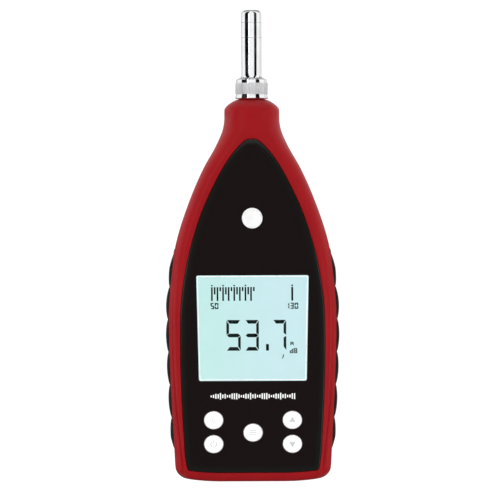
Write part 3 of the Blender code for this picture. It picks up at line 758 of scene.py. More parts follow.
def board_finish():
    """Green solder mask over a grid of copper tracks."""
    material, tree = new_material("circuit_board")
    upright = {"Vector": surface_point(tree), "Rotation": (math.radians(90), 0, 0)}
    tracks = added(tree, "TexBrick", {
        "Scale": 1 / (8 * MM),
        "Color1": (0.008, 0.085, 0.035),
        "Color2": (0.012, 0.110, 0.045),
        "Mortar": (0.030, 0.190, 0.070),
        "Mortar Size": 0.03,
        "Vector": added(tree, "Mapping", upright).outputs["Vector"],
    })
    return shaded(material, {
        "Base Color": tracks.outputs["Color"],
        "Roughness": patchy(tree, 0.3, 0.45, 3.0),
        "Normal": bumped(tree, tracks.outputs["Fac"], 0.3, 0.03),
    })


def cell_finish(name, blue_end, gold_start):
    """A printed battery jacket, dark blue then metal-coloured, between two heights in metres."""
    material, tree = new_material(name)
    band = ranged(tree, coordinate(tree, "Z"), 0, 1, blue_end, gold_start)
    return shaded(material, {
        "Base Color": mixed(tree, band, (0.012, 0.035, 0.11), (0.42, 0.30, 0.12)),
        "Roughness": patchy(tree, 0.25, 0.4, 4.0),
        "Metallic": 0.4,
        "Normal": bumped(tree, noise(tree, 1.2), 0.05, 0.02),
    })


RED = finish_with(
    "red_case", (0.292, 0.0088, 0.0112), 0.36, specular=0.16, variation=0.05, relief=0.12,
)
# Tinted reflections keep the red rich where the case turns away.
shaded(RED, {"Specular Tint": (1.0, 0.20, 0.26)})
PANEL = panel_finish()
CLEAR = clear_finish()
LCD = lit_cell_finish()
SEGMENT = finish_with("lcd_segment", (0.016, 0.030, 0.028), 0.5, specular=0.1, relief=0)
FINE_SEGMENT = finish_with("lcd_fine_segment", (0.004, 0.006, 0.006), 0.5, specular=0, relief=0)
WHITE_PRINT = finish_with("white_print", (0.93, 0.93, 0.93), 0.5, patch=2.0, relief=0.05)
BORDER = finish_with("display_border", (0.97, 0.97, 0.97), 0.4, patch=5.0, relief=0.03)
PEARL = pearl_finish()
KEY_PRINT = finish_with("key_print", (0.56, 0.57, 0.58), 0.5, patch=2.0, relief=0.05)
RUBBER = rubber_finish()
CHROME = chrome_finish("chrome", 0.05)
SATIN = brushed_finish("chrome_satin", (0.90, 0.90, 0.91), 0.40, (1, 1, 0.1), 0.8)
BADGE = finish_with("badge_metal", (0.96, 0.96, 0.96), 0.35, 0.1, patch=6.0, relief=0.05)
BRASS = brushed_finish("brass", (0.72, 0.50, 0.20), 0.22)
NICKEL = brushed_finish("nickel", (0.66, 0.63, 0.57), 0.2)
STEEL = brushed_finish("steel", (0.50, 0.51, 0.53), 0.25)
BLACK_PLASTIC = finish_with("black_plastic", (0.014, 0.014, 0.015), 0.5, relief=0.15)
CHIP = finish_with("chip_black", (0.012, 0.012, 0.013), 0.45, patch=4.0)
WHITE_PLASTIC = finish_with("white_plastic", (0.75, 0.75, 0.73), 0.45, relief=0.05)
STRIP = finish_with("rubber_strip", (0.02, 0.02, 0.022), 0.7, patch=3.0)
BOARD = board_finish()
CELL_UP = cell_finish("cell_jacket_up", 0.0505, 0.0510)
CELL_DOWN = cell_finish("cell_jacket_down", 0.0370, 0.0365)
LABEL = finish_with("label_silver", (0.70, 0.71, 0.72), 0.34, 0.35, patch=6.0, relief=0.04)
LABEL_PRINT = finish_with("label_print", (0.03, 0.03, 0.03), 0.5, patch=3.0, relief=0.03)


def place(obj, body, material, slot=None, replaces=()):
    """Gives a piece its finish and the body it moves with, and the nodes it stands for."""
    obj.data.materials.clear()
    obj.data.materials.append(material)
    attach(obj, body)
    if replaces:
        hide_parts(*replaces)
    return obj


def place_flat(obj, *settings):
    """Places a piece whose large flat faces stay flat beside narrow rounded ones."""
    modifier = obj.modifiers.new("normals", "WEIGHTED_NORMAL")
    modifier.keep_sharp = True
    place(obj, *settings)


# -------- front of the case

def rim_columns():
    """Pairs of places for the right half of the rim: the panel's recess and the silhouette."""
    corner = panel_corner(GAP, 9)
    flat = case_half(FOOT_ROUND) - FOOT_ROUND
    columns = []
    for x in spread(0, corner[0][0], 22)[:-1]:
        outer = x * flat / corner[0][0]
        inner_z = PANEL_FOOT - GAP + foot_rise(x)
        columns.append(((x, inner_z), (outer, foot_rise(outer))))
    for inner, a in zip(corner, arc(0, 90, 9)):
        x = flat + FOOT_ROUND * math.sin(a)
        height = FOOT_ROUND * (1 - math.cos(a))
        rise = foot_rise(x) * (1 - height / FOOT_RISE_REACH)
        columns.append((inner, (x, height + rise)))
    foot = columns[-1][1][1]
    matching = curve_through(((corner[-1][1], foot), *RIM_MATCHES))
    heights = spread(corner[-1][1], PANEL_STATIONS[-1][0], 130)[1:]
    for inner, z in zip(panel_side(GAP, heights), heights):
        outer_z = matching(z)
        columns.append((inner, (case_half(outer_z), outer_z)))
    top = [(NECK_RADIUS, z) for z in spread(RIM_MATCHES[-1][1], NECK_SHOULDER, 7)[1:]]
    top += [(NECK_RADIUS * dome_share(z), z) for z in dome_heights(15)]
    top += [(x, NECK_TOP) for x in spread(NECK_FLAT, 0, 5)[1:]]
    return columns + list(zip(panel_peak(GAP, len(top) + 1), top))


def rim_torus(name, right):
    """A closed band all round the rim, from its sections along the right half."""
    left = [[(-x, y, z) for x, y, z in section] for section in reversed(right[1:-1])]
    return skin(name, list(zip(*(right + left))), torus=True)


def rim_section(inner, outer):
    """The closed run of points across the front half's wall at one place along the rim."""
    inner, outer = Vector(inner), Vector(outer)
    length = (outer - inner).length

    def on_face(share, sunk=0.0):
        x, z = inner.lerp(outer, share)
        return (x, sunk + crease(x, z) + dip(share * length, z) - face_depth(x, z), z)

    def inside(share):
        x, z = inner.lerp(outer, share)
        return (x, max(SHELF_BACK + 0.3, WALL - face_depth(x, z)), z)

    points = [(inner[0], SHELL_FACE, inner[1])]
    for a in arc(0, 90, 4):
        share = EDGE_ROUND * (1 - math.cos(a)) / length
        points.append(on_face(share, EDGE_ROUND * (1 - math.sin(a))))
    start = EDGE_ROUND / length
    for step in spread(0, 1, 31)[1:]:
        points.append(on_face(start + (1 - start) * step * (2 - step)))
    parting = PARTING - GAP / 2
    for depth in spread(points[-1][1], parting - EDGE_ROUND, 4)[1:]:
        points.append((outer[0], depth, outer[1]))
    tip = parting + TONGUE_REACH
    steps = ((EDGE_ROUND, parting), (TONGUE_INSET, parting), (TONGUE_INSET, tip), (WALL, tip))
    for inset, depth in steps:
        x, z = outer.lerp(inner, min(inset / length, 0.6))
        points.append((x, depth, z))
    points += [inside(share) for share in spread(1 - min(WALL / length, 0.6), 0, 5)]
    return points


def grip_pocket(side):
    low, high = GRIP_SIDES[0] - GAP, GRIP_SIDES[1] + GAP
    rings = []
    for z in spread(GRIP_FOOT - GAP, GRIP_TOP + GAP, 40):
        inner = side * (case_half(z) - GRIP_SUNK - GAP)
        outer = side * (case_half(z) + 8)
        rings.append([(inner, low, z), (outer, low, z), (outer, high, z), (inner, high, z)])
    return skin("pocket", rings)


def neck_bore():
    return rod("bore", BORE_RADIUS, "Z", *BORE_SPAN, (0, 0, 0))


def front_shell():
    shell = rim_torus("front_case", [rim_section(*pair) for pair in rim_columns()])
    shelf = plate("shelf", panel_outline, ((1.0, SHELF_BACK), (1.0, SHELL_FACE)))
    x, z = [size + GAP for size in CELL_HALF]
    holes = [block("opening", (-x, x), (CUT_FRONT, -10), (DISPLAY_Z - z, DISPLAY_Z + z))]
    for x, z in KEYS.values():
        hole = rod("hole", KEY_RADIUS + GAP, "Y", CUT_FRONT, -10, (x, 0, z))
        holes.append(flattened(hole, z))
    cut(shelf, *holes)
    combine(shell, "UNION", shelf)
    cut(
        shell,
        grip_pocket(-1),
        grip_pocket(1),
        neck_bore(),
        rod("jack", 3.1, "Z", -5, 4.5, (FITTING_X, FITTING_Y, 0)),
        rod("trimmer", 1.9, "Z", -5, 4.5, (-FITTING_X, FITTING_Y, 0)),
    )
    place_flat(shell, "case", RED, "red_case", ["front_shell"])


def flattened(obj, z):
    """Makes a key, or the hole for one, a little less tall than wide about its middle."""
    for vertex in obj.data.vertices:
        vertex.co.z = z * MM + (vertex.co.z - z * MM) * KEY_FLATTENING
    return obj


def key_hole_cutter(radius, chamfer):
    """A cutter down from the panel's face with a small chamfer at its mouth."""
    return (
        (0, CUT_FRONT), (radius + chamfer + 3, PANEL_FRONT - 3), (radius, PANEL_FRONT + chamfer),
        (radius, -14), (0, -14),
    )


def face_panel():
    edge = PANEL_FRONT + PANEL_CROWN
    layers = [(0.0, PANEL_BACK), (0.0, edge + 0.25), (-0.08, edge + 0.08), (-0.25, edge)]
    for share in spread(0, 1, 8)[1:]:
        drop = PANEL_CROWN * (1 - share) ** 2
        layers.append((-0.25 - (PANEL_CROWN_WIDTH - 0.25) * share, PANEL_FRONT + drop))
    panel = plate("face_plate", panel_outline, layers, sharp=50)
    side, ledge = GAP / 2, -16.3
    layers = (
        (side + 3.1, CUT_FRONT), (side + 0.1, PANEL_FRONT), (side, PANEL_FRONT + 0.1), (side, ledge),
    )
    opening = plate("opening", window_outline, layers)
    rebate = plate("rebate", window_outline, ((1.0 + side, ledge), (1.0 + side, -12)))
    combine(opening, "UNION", rebate)
    holes = [opening]
    for x, z in KEYS.values():
        hole = turned("hole", key_hole_cutter(KEY_RADIUS + GAP, 0.08), "Y", (x, 0, z), 64)
        holes.append(flattened(hole, z))
    radius, floor = BADGE_RADIUS + GAP, -16.5
    seat = (
        (0, CUT_FRONT), (BADGE_RADIUS + 3.3, CUT_FRONT), (radius + 0.1, PANEL_FRONT),
        (radius - 0.1, floor), (0, floor),
    )
    holes.append(turned("seat", seat, "Y", (0, 0, BADGE_Z), 64))
    cut(panel, *holes)
    place_flat(panel, "case", PANEL, "black_panel", ["face_panel"])


# -------- display

SEGMENTS = {
    "0": "abcdef", "1": "bc", "3": "abcdg", "5": "acdfg", "7": "abc",
    "A": "abcefg", "d": "bcdeg", "B": "abcdefg",
}


def digit(character, left, foot, width, height, level, upright, gap):
    """Outlines of a seven-segment character with mitred corners and light gaps between.

    Level and upright are the stroke widths of its bars across and of its bars up.
    """
    right, top = left + width, foot + height
    middle = foot + height * 0.497
    near, far = left + upright, right - upright
    half = level / 2

    def across(edge, step):
        return [
            (left + gap, edge), (right - gap, edge), (far - gap, edge + step), (near + gap, edge + step),
        ]

    def up(outer, inner, low, high, low_step, high_step):
        return [
            (outer, high - gap), (outer, low + gap), (inner, low + low_step + gap),
            (inner, high - high_step - gap),
        ]

    shapes = {
        "a": across(top, -level),
        "b": up(right, far, middle, top, half, level),
        "c": up(right, far, foot, middle, level, half),
        "d": across(foot, level),
        "e": up(left, near, foot, middle, level, half),
        "f": up(left, near, middle, top, half, level),
        "g": [(left + gap, middle), (near, middle + half), (far, middle + half),
              (right - gap, middle), (far, middle - half), (near, middle - half)],
    }
    return [shapes[name] for name in SEGMENTS[character]]


def bar(left, right, low, high):
    return [(left, low), (right, low), (right, high), (left, high)]


def prints(name, outlines, material, slot, y=PRINT_Y, body="case"):
    """Flat printed shapes on one surface as a single piece of thin solids."""
    made = bmesh.new()
    for outline in outlines:
        front = [made.verts.new((x, y[0], z)) for x, z in outline]
        back = [made.verts.new((x, y[1], z)) for x, z in outline]
        made.faces.new(front)
        made.faces.new(back[::-1])
        for i in range(len(outline)):
            j = (i + 1) % len(outline)
            made.faces.new((front[j], front[i], back[i], back[j]))
    return place(object_from(name, made), body, material, slot)


def frame_outlines(half, middle, thick):
    """Four bars round a rectangle."""
    left, right = -half[0], half[0]
    low, high = middle - half[1], middle + half[1]
    return [
        bar(left, right, low, low + thick), bar(left, right, high - thick, high),
        bar(left, left + thick, low + thick, high - thick),
        bar(right - thick, right, low + thick, high - thick),
    ]


def cell_outline(grown):
    return rounded_box([size + grown for size in CELL_HALF], DISPLAY_Z, 0.6 + grown)


def window_and_cell():
    side = -GAP / 2
    layers = (
        (1.0 + side, PANEL_BACK), (1.0 + side, -16.05), (side, -16.05), (side, PANEL_FRONT + 0.15),
        (side - 0.1, PANEL_FRONT + 0.05),
    )
    glass = plate("window", window_outline, layers)
    place_flat(glass, "case", CLEAR, "clear_window", ["display_window"])
    front, back = PANEL_FRONT, PANEL_FRONT + 0.06
    corners = ((side - 0.05, front), (side - 0.05, back), (side - 0.5, back), (side - 0.5, front))
    rows = [[(x, y, z) for x, z in window_outline(grown)] for grown, y in corners]
    place(skin("display_border", rows, torus=True), "case", BORDER, "white_plastic")

    layers = (
        (-0.15, CELL_BACK), (0, CELL_BACK - 0.15), (0, CELL_FRONT + 0.15), (-0.15, CELL_FRONT),
    )
    face = plate("lcd_face", cell_outline, layers)
    place_flat(face, "case", LCD, "lcd_face", ["lcd_glass"])


def readout():
    """The bar graph with its end numbers, the unit marks and the large reading."""
    top, dots = 100.8, (101.25, 101.95)
    feet = (93.65, 97.0, 93.65, 98.7)
    half = 0.43
    ticks = []
    for i in range(16):
        x = -21.06 + 1.45 * i
        ticks.append(bar(x - half, x + half, feet[i % 4], top))
        if i % 4 == 0:
            ticks.append(bar(x - half, x + half, *dots))
    ticks += [bar(20.1, 21.1, feet[0], top), bar(20.1, 21.1, *dots)]
    prints("display_bargraph", ticks, FINE_SEGMENT, "black_plastic")

    small = []
    for character, left in (("5", -21.8), ("0", -19.6), ("1", 17.2), ("3", 19.5), ("0", 21.8)):
        small += digit(character, left, 89.4, 1.9, 3.2, 0.60, 0.64, 0.03)
    small += digit("A", 19.5, 70.3, 1.7, 2.0, 0.46, 0.5, 0.02)
    for character, left in (("d", 19.2), ("B", 21.3)):
        small += digit(character, left, 66.4, 1.75, 2.6, 0.46, 0.58, 0.03)
    small.append([(15.2, 63.6), (15.7, 63.6), (16.3, 65.8), (15.8, 65.8)])
    prints("display_marks", small, FINE_SEGMENT, "black_plastic")

    reading = []
    for character, left, width in (("5", -13.6, 7.4), ("3", -3.9, 7.1), ("7", 10.5, 6.9)):
        reading += digit(character, left, 67.8, width, 15.9, 1.9, 1.35, 0.26)
    reading.append(bar(6.9, 8.4, 67.8, 71.2))
    prints("display_reading", reading, SEGMENT, "black_plastic")


def scale_motif():
    """A row of plain bars printed below the display."""
    heights = (1.0, 1.5, 2.2, 3.2, 2.4, 1.6, 2.8, 3.4, 2.0, 1.2, 2.6, 3.0, 1.8)
    middle, half, pitch, count = 44.2, 0.32, 1.2, 37
    bars = []
    for i in range(count):
        x = pitch * (i - count // 2)
        tall = heights[(i * 5) % len(heights)] / 2
        bars.append(bar(x - half, x + half, middle - tall, middle + tall))
    depths = (PANEL_FRONT - 0.05, PANEL_FRONT + 0.02)
    prints("scale_motif", bars, WHITE_PRINT, "white_plastic", depths)


# -------- keys and badge

def arc_band(cx, cz, radius, width, start, end, steps=20):
    """A curved stroke as one outline."""
    angles = arc(start, end, steps)

    def line(r):
        return [(cx + r * math.cos(a), cz + r * math.sin(a)) for a in angles]

    return line(radius + width / 2) + line(radius - width / 2)[::-1]


def key_symbol(name, x, z):
    """Plain symbols: a power ring, a lamp with rays, menu lines, and two arrows."""
    if name == "key_power":
        return [arc_band(x, z, 1.5, 0.35, 125, 415), bar(x - 0.18, x + 0.18, z + 0.4, z + 2.0)]
    if name == "key_light":
        rays = []
        for i in range(8):
            a = math.radians(45 * i)
            along = Vector((math.cos(a), math.sin(a)))
            side = Vector((-along.y, along.x)) * 0.15
            low, high = along * 1.35, along * 2.1
            corners = (low - side, high - side, high + side, low + side)
            rays.append([(x + c.x, z + c.y) for c in corners])
        return rays + [arc_band(x, z, 0.75, 0.3, 0, 358)]
    if name == "key_menu":
        return [bar(x - 1.7, x + 1.7, z + k - 0.17, z + k + 0.17) for k in (-1.1, 0, 1.1)]
    up = 1 if name == "key_up" else -1
    return [[(x - 1.7, z - up * 1.0), (x + 1.7, z - up * 1.0), (x, z + up * 1.7)][::up]]


def keys():
    for name, (x, z) in KEYS.items():
        dome = [(KEY_RADIUS * s, KEY_FRONT + KEY_DOME * s * s) for s in spread(0, 0.92, 9)]
        edge = [
            (KEY_RADIUS, KEY_FRONT + KEY_DOME), (KEY_RADIUS, -12.7), (KEY_FLANGE_RADIUS, -12.7),
            (KEY_FLANGE_RADIUS, -11.5), (0, -11.5),
        ]
        profile = dome[:-1] + rounded([dome[-1]] + edge, 0.35)
        cap = flattened(turned(f"{name}_cap", profile, "Y", (x, 0, z), 64), z)
        place(cap, name, PEARL, "silver_keys", [name])
        print_symbol(name, x, z)


def print_symbol(name, x, z):
    """A key's symbol, bent to lie on the cap's dome."""
    outlines = key_symbol(name, x, z)
    depths = (-18, -17.6)
    symbol = prints(f"{name}_symbol", outlines, KEY_PRINT, "black_plastic", depths, name)
    for vertex in symbol.data.vertices:
        out = math.hypot(vertex.co.x / MM - x, vertex.co.z / MM - z) / KEY_RADIUS
        lift = 0.07 if vertex.co.y < -17.8 * MM else -0.05
        vertex.co.y = (KEY_FRONT + KEY_DOME * out * out - lift) * MM


def badge():
    rim = BADGE_RADIUS
    front = PANEL_FRONT - 0.3
    profile = [
        (0, front + 0.32), (rim - 1.3, front + 0.3), (rim - 1.0, front), (rim - 0.3, front),
        (rim, front + 0.3), (rim, -16.8), (0, -16.8),
    ]
    disc = turned("badge_disc", rounded(profile, 0.15), "Y", (0, 0, BADGE_Z))
    place(disc, "case", BADGE, "badge_silver", ["badge"])


# -------- grips

def grip_protrusion(z):
    lobe = abs(math.sin(math.pi * (z - GRIP_NOTCH) / GRIP_PITCH)) ** 0.6
    fade = min((z - GRIP_FOOT) / 6, (GRIP_TOP - z) / 10, 1.0)
    return (0.4 + 1.2 * lobe) * max(fade, 0.0) ** 0.5


def grips():
    low, high = GRIP_SIDES
    middle, reach = (low + high) / 2, (high - low) / 2
    for name, side in (("grip_left", -1), ("grip_right", 1)):
        rings = []
        for z in spread(GRIP_FOOT, GRIP_TOP, 261):
            inner = case_half(z) - GRIP_SUNK
            outer = case_half(z) + grip_protrusion(z)
            ring = [(side * inner, low, z)]
            for share in spread(-1, 1, 17):
                ring.append((side * (outer - 0.7 * abs(share) ** 5), middle + reach * share, z))
            ring.append((side * inner, high, z))
            rings.append(ring)
        grip = skin(f"{name}_rubber", rings, sharp=50)
        place(grip, "case", RUBBER, "grip_rubber", [name])


# -------- microphone

def collar():
    """The knurled ring that holds the microphone: chrome, with satin round its teeth."""
    teeth, steps = 40, 6

    def knurled(radius, z, a):
        in_groove = round(a * teeth * steps / (2 * math.pi)) % steps < 2
        return radius - 0.4 if in_groove and radius == COLLAR_RADIUS else radius

    profile = (
        (6.2, 199.8), (7.6, 198.75), (7.9, COLLAR_FOOT), (8.3, COLLAR_FOOT), (8.55, 199.0),
        (8.15, 200.6), (8.05, 201.0), (COLLAR_RADIUS, 201.2), (COLLAR_RADIUS, 203.8),
        (COLLAR_RADIUS, 206.5), (8.1, 206.9), (7.95, 208.5), (7.4, 208.85), (6.2, COLLAR_TOP),
        (TUBE_RADIUS + GAP, COLLAR_TOP), (TUBE_RADIUS + GAP, 204.9), (6.2, 204.9),
    )
    ring = turned("mic_collar_knurled", profile, "Z", segments=teeth * steps, radius_at=knurled)
    place(ring, "collar", CHROME, "chrome", ["mic_collar"])
    ring.data.materials.append(SATIN)
    for face in ring.data.polygons:
        middle = face.center / MM
        if middle.xy.length > 7.9 and 201.0 < middle.z < 206.8:
            face.material_index = 1


def grid_cap():
    """The rounded cap over the diaphragm, with sound holes in its top."""
    low, high = CAPSULE_TOP + 0.05, MIC_TOP
    profile = (
        (0, high - 0.8), (3.1, high - 0.8), (4.3, high - 2.3), (4.3, low),
        (TUBE_RADIUS - 0.12, low), (TUBE_RADIUS, low + 0.12), (TUBE_RADIUS, high - 2.2),
        (5.13, high - 1.5), (4.75, high - 0.85), (4.1, high - 0.3), (3.3, high), (0, high),
    )
    cap = turned("mic_grid_cap", profile, "Z")
    holes = []
    for count, radius in ((1, 0), (6, 1.3), (12, 2.55)):
        for x, y in circle(count):
            at = (radius * x, radius * y, 0)
            holes.append(rod("hole", 0.42, "Z", high - 2, high + 1, at, 16))
    cut(cap, *holes)
    place_flat(cap, "microphone", CHROME, "chrome", ["mic_grid"])


def plated(name, profile, body, node):
    place(turned(name, profile, "Z"), body, CHROME, "chrome", [node])


def microphone():
    socket = (
        (1.8, 187.0), (4.5, 187.0), (4.5, 199.3), (5.8, 199.3), (5.8, 204.4), (1.8, 204.4),
    )
    plated("mic_socket_metal", socket, "case", "mic_socket")
    collar()
    stem = (
        (4.2, 205.2), (TUBE_RADIUS, 205.2), (TUBE_RADIUS, 209.25), (5.9, 209.6), (5.5, 210.2),
        (TUBE_RADIUS, 210.9), (TUBE_RADIUS, STEM_TOP - 0.15), (TUBE_RADIUS - 0.15, STEM_TOP),
        (4.2, STEM_TOP),
    )
    plated("mic_stem_tube", stem, "microphone", "mic_stem")
    low, high = STEM_TOP + 0.05, CAPSULE_TOP
    capsule = (
        (0, low), (TUBE_RADIUS - 0.15, low), (TUBE_RADIUS, low + 0.15),
        (TUBE_RADIUS, high - 0.12), (TUBE_RADIUS - 0.12, high), (4.3, high), (4.3, low + 2.2),
        (0, low + 2.2),
    )
    plated("mic_capsule_body", capsule, "microphone", "mic_capsule")
    grid_cap()


# -------- back of the case

def back_body(name):
    """The back half of the case as one solid: a dense loft from the foot to the neck's top."""
    edge = PARTING + GAP / 2
    lip = edge + EDGE_ROUND
    heights = [FOOT_ROUND * (1 - math.cos(a)) for a in arc(0, 90, 10)[:-1]]
    heights += spread(FOOT_ROUND, NECK_SHOULDER, 110)
    rings = []
    for z in heights:
        row = case_section(z, 13)
        front = [(x * (1 - EDGE_ROUND / case_half(z)), edge, z + rise) for x, _, rise in row]
        back = [(x, y, z + rise) for x, y, rise in reversed(row)]
        right, left = [(side[0], lip, side[2]) for side in (back[0], back[-1])]
        rings.append([*front, right, *back, left])
    last = rings[-1]
    for z in dome_heights(13):
        share = dome_share(z)
        ring = [(x * share, edge + (y - edge) * share if y > lip else y, z) for x, y, _ in last]
        rings.append(ring)
    return skin(name, rings)


def door_outline(growth):
    """The battery door: a plate with a rounded tab over its screw."""
    half = WELL_X + DOOR_LEDGE + growth
    foot = WELL_SPAN[0] - DOOR_LEDGE - growth
    top = WELL_SPAN[1] + DOOR_LEDGE + growth
    reach = DOOR_TAB + growth
    outline = [(-half, foot), (half, foot), (half, top), (reach, top)]
    for a in arc(20, 160, 13):
        outline.append((reach * math.cos(a), max(DOOR_SCREW_Z + reach * math.sin(a) - 1.0, top)))
    return outline + [(-reach, top), (-half, top)]


def label_outline(growth):
    return rounded_box([size + growth for size in LABEL_HALF], LABEL_Z, 2.0 + growth)


def seat_layers(floor, chamfer=MOUTH_CHAMFER):
    """The layers of a cutter for a sunk seat in the back, with a chamfered mouth."""
    return (GAP, floor), (GAP, BACK - chamfer), (GAP + chamfer + 3, BACK + 3)


def stepped(name, steps, z, x=0, segments=48):
    """A cutter along Y whose radius changes at each (y, radius) step, with a chamfered mouth."""
    profile = [(0, steps[0][0])]
    for (start, radius), (end, _) in zip(steps, steps[1:]):
        profile += [(radius, start), (radius, end)]
    start, radius = steps[-1]
    chamfer = MOUTH_CHAMFER
    profile += [(radius, start), (radius, BACK - chamfer), (radius + chamfer + 3, BACK + 3)]
    profile.append((0, BACK + 3))
    return turned(name, profile, "Y", (x, 0, z), segments)


def tongue_step():
    """A cutter for the step inside the back half's edge that takes the front half's tongue."""
    top = PARTING + GAP / 2 + TONGUE_REACH
    near, far = TONGUE_INSET - GAP, WALL + 0.6
    corners = ((near, PARTING - 1), (far, PARTING - 1), (far, top), (near, top))
    right = []
    for inner, outer in rim_columns():
        inner, outer = Vector(inner), Vector(outer)
        reached = [outer + (inner - outer).normalized() * inset for inset, _ in corners]
        right.append([(at.x, y, at.y) for at, (_, y) in zip(reached, corners)])
    return rim_torus("step", right)


def rear_shell():
    shell = back_body("rear_case")
    rings = []
    for z in CAVITY_HEIGHTS:
        row = case_section(min(z, NECK_SHOULDER), 7, WALL, WALL)
        front = [(x, 0.0, z + rise) for x, _, rise in row]
        rings.append(front + [(x, y, z + rise) for x, y, rise in reversed(row)])
    cut(shell, skin("cavity", rings, strips=True))
    half = WELL_X + WELL_WALL
    walls = (WELL_SPAN[0] - WELL_WALL, WELL_SPAN[1] + WELL_WALL)
    solids = [block("well", (-half, half), (-0.8, BACK - 1.4), walls)]
    for x, z in CASE_SCREWS.values():
        solids.append(rod("boss", 3.7, "Y", PARTING + GAP, BOSS_END, (x, 0, z)))
    solids.append(rod("tripod_boss", 8.0, "Y", 7.0, BOSS_END, (0, 0, TRIPOD_Z)))
    solids.append(rod("door_boss", 3.6, "Y", 9.0, 16.9, (0, 0, DOOR_SCREW_Z)))
    combine(shell, "UNION", joined("solids", solids))
    cut(shell, tongue_step())
    holes = [
        block("well_space", (-WELL_X, WELL_X), (0.8, 30), WELL_SPAN),
        rod("door_screw_hole", 1.9, "Y", 10.5, 15.9, (0, 0, DOOR_SCREW_Z)),
        stepped("tripod_seat", ((8.4, 5.3), (BACK - 1.5, 7.3)), TRIPOD_Z, segments=64),
        plate("label_seat", label_outline, seat_layers(BACK - 0.9, 0.2)),
        neck_bore(),
        grip_pocket(-1),
        grip_pocket(1),
    ]
    for x, z in CASE_SCREWS.values():
        holes.append(stepped("screw_hole", ((-5, 1.6), (6.0, 2.9)), z, x))
    cut(shell, *holes)
    cut(shell, plate("door_seat", door_outline, seat_layers(BACK - DOOR_THICK - GAP)))
    place_flat(shell, "case", RED, "red_case", ["rear_shell"])


def raised(outline):
    """A mark that stands a little proud of the battery door."""
    return plate("mark", outline, ((0, BACK - 0.5), (0, BACK + 0.15), (-0.25, BACK + 0.3)))


def finger_rib(i):
    def outline(grown):
        return rounded_box((11.0 - 0.4 * i + grown, 0.55 + grown), 58.0 + 2.2 * i, 0.5 + grown)

    return raised(outline)


def arrow_outline(grown):
    return [(-4.2 - grown, 51.5 + grown), (0, 47.2 - grown * 1.6), (4.2 + grown, 51.5 + grown)]


def battery_door():
    front = BACK - DOOR_THICK
    layers = (
        (-0.15, front), (0, front + 0.15), (0, BACK - 0.4), (-0.12, BACK - 0.12), (-0.4, BACK),
    )
    door = plate("battery_door_plate", door_outline, layers)
    marks = [finger_rib(i) for i in range(6)] + [raised(arrow_outline)]
    combine(door, "UNION", joined("marks", marks))
    cut(door, stepped("door_hole", ((10, 1.9), (BACK - 1.3, 4.0)), DOOR_SCREW_Z))
    place_flat(door, "door", RED, "red_case", ["battery_door"])


def screw(name, node, body, at, seat, head, shank):
    """A pan-head screw driven towards -Y, with a cross recess and thread rings.

    The head and the shank are each given as (radius, length), and at is (x, z).
    """
    x, z = at
    head_radius, head_height = head
    radius, length = shank
    profile = [(0, seat - length), (radius * 0.6, seat - length)]
    pitch = 0.7
    for i in range(int((length - 0.6) / pitch)):
        y = seat - length + 0.3 + pitch * i
        profile += [(radius * 0.78, y), (radius, y + pitch / 2)]
    top = seat + head_height
    profile += [
        (radius, seat), (head_radius, seat), (head_radius, seat + head_height * 0.55),
        (head_radius * 0.93, top - 0.08), (head_radius * 0.82, top), (0, top),
    ]
    made = turned(name, profile, "Y", (x, 0, z), 40)
    long, short = head_radius * 0.6, head_radius * 0.15
    cross = (
        (short, long), (-short, long), (-short, short), (-long, short), (-long, -short),
        (-short, -short), (-short, -long), (short, -long), (short, -short), (long, -short),
        (long, short), (short, short),
    )

    def recess(share):
        return [(x + a * share, z + b * share) for a, b in cross]

    layers = ((0.55, top - head_height * 0.6), (1.0, top), (1.0, top + 1))
    cut(made, plate("recess", recess, layers))
    place(made, body, STEEL, "steel", [node])


def rear_fittings():
    for node, at in CASE_SCREWS.items():
        screw(f"{node}_steel", node, "case", at, 6.3, (2.6, 2.2), (1.3, 15.0))
    name, node, at = "door_screw_steel", "battery_door_screw", (0, DOOR_SCREW_Z)
    screw(name, node, "door_screw", at, 17.0, (3.7, 0.9), (1.5, 4.9))
    bush = [(5.0, 9.0), (5.0, 16.8), (7.0, 16.8), (7.0, 17.8), (6.8, BACK), (3.6, BACK), (3.3, 17.7)]
    pitch = 1.27
    for i in range(6):
        y = 17.2 - pitch * i
        bush += [(3.175, y), (3.45, y - pitch / 2)]
    bush += [(3.175, 9.4), (3.3, 9.0)]
    insert = turned("tripod_bush_brass", bush, "Y", (0, 0, TRIPOD_Z), sharp=25)
    place(insert, "case", BRASS, "brass", ["tripod_bush"])
    layers = ((0, BACK - 0.6), (0, BACK - 0.15), (-0.15, BACK))
    label = plate("rear_label_plate", label_outline, layers)
    place_flat(label, "case", LABEL, "label_silver", ["rear_label"])
    rules = frame_outlines([size - 1.4 for size in LABEL_HALF], LABEL_Z, 0.3)
    rules += [bar(-14.5, 14.5, LABEL_Z + k - 0.12, LABEL_Z + k + 0.12) for k in (-4.4, 0, 4.4)]
    depths = (BACK - 0.02, BACK + 0.04)
    prints("rear_label_rules", rules, LABEL_PRINT, "black_plastic", depths)


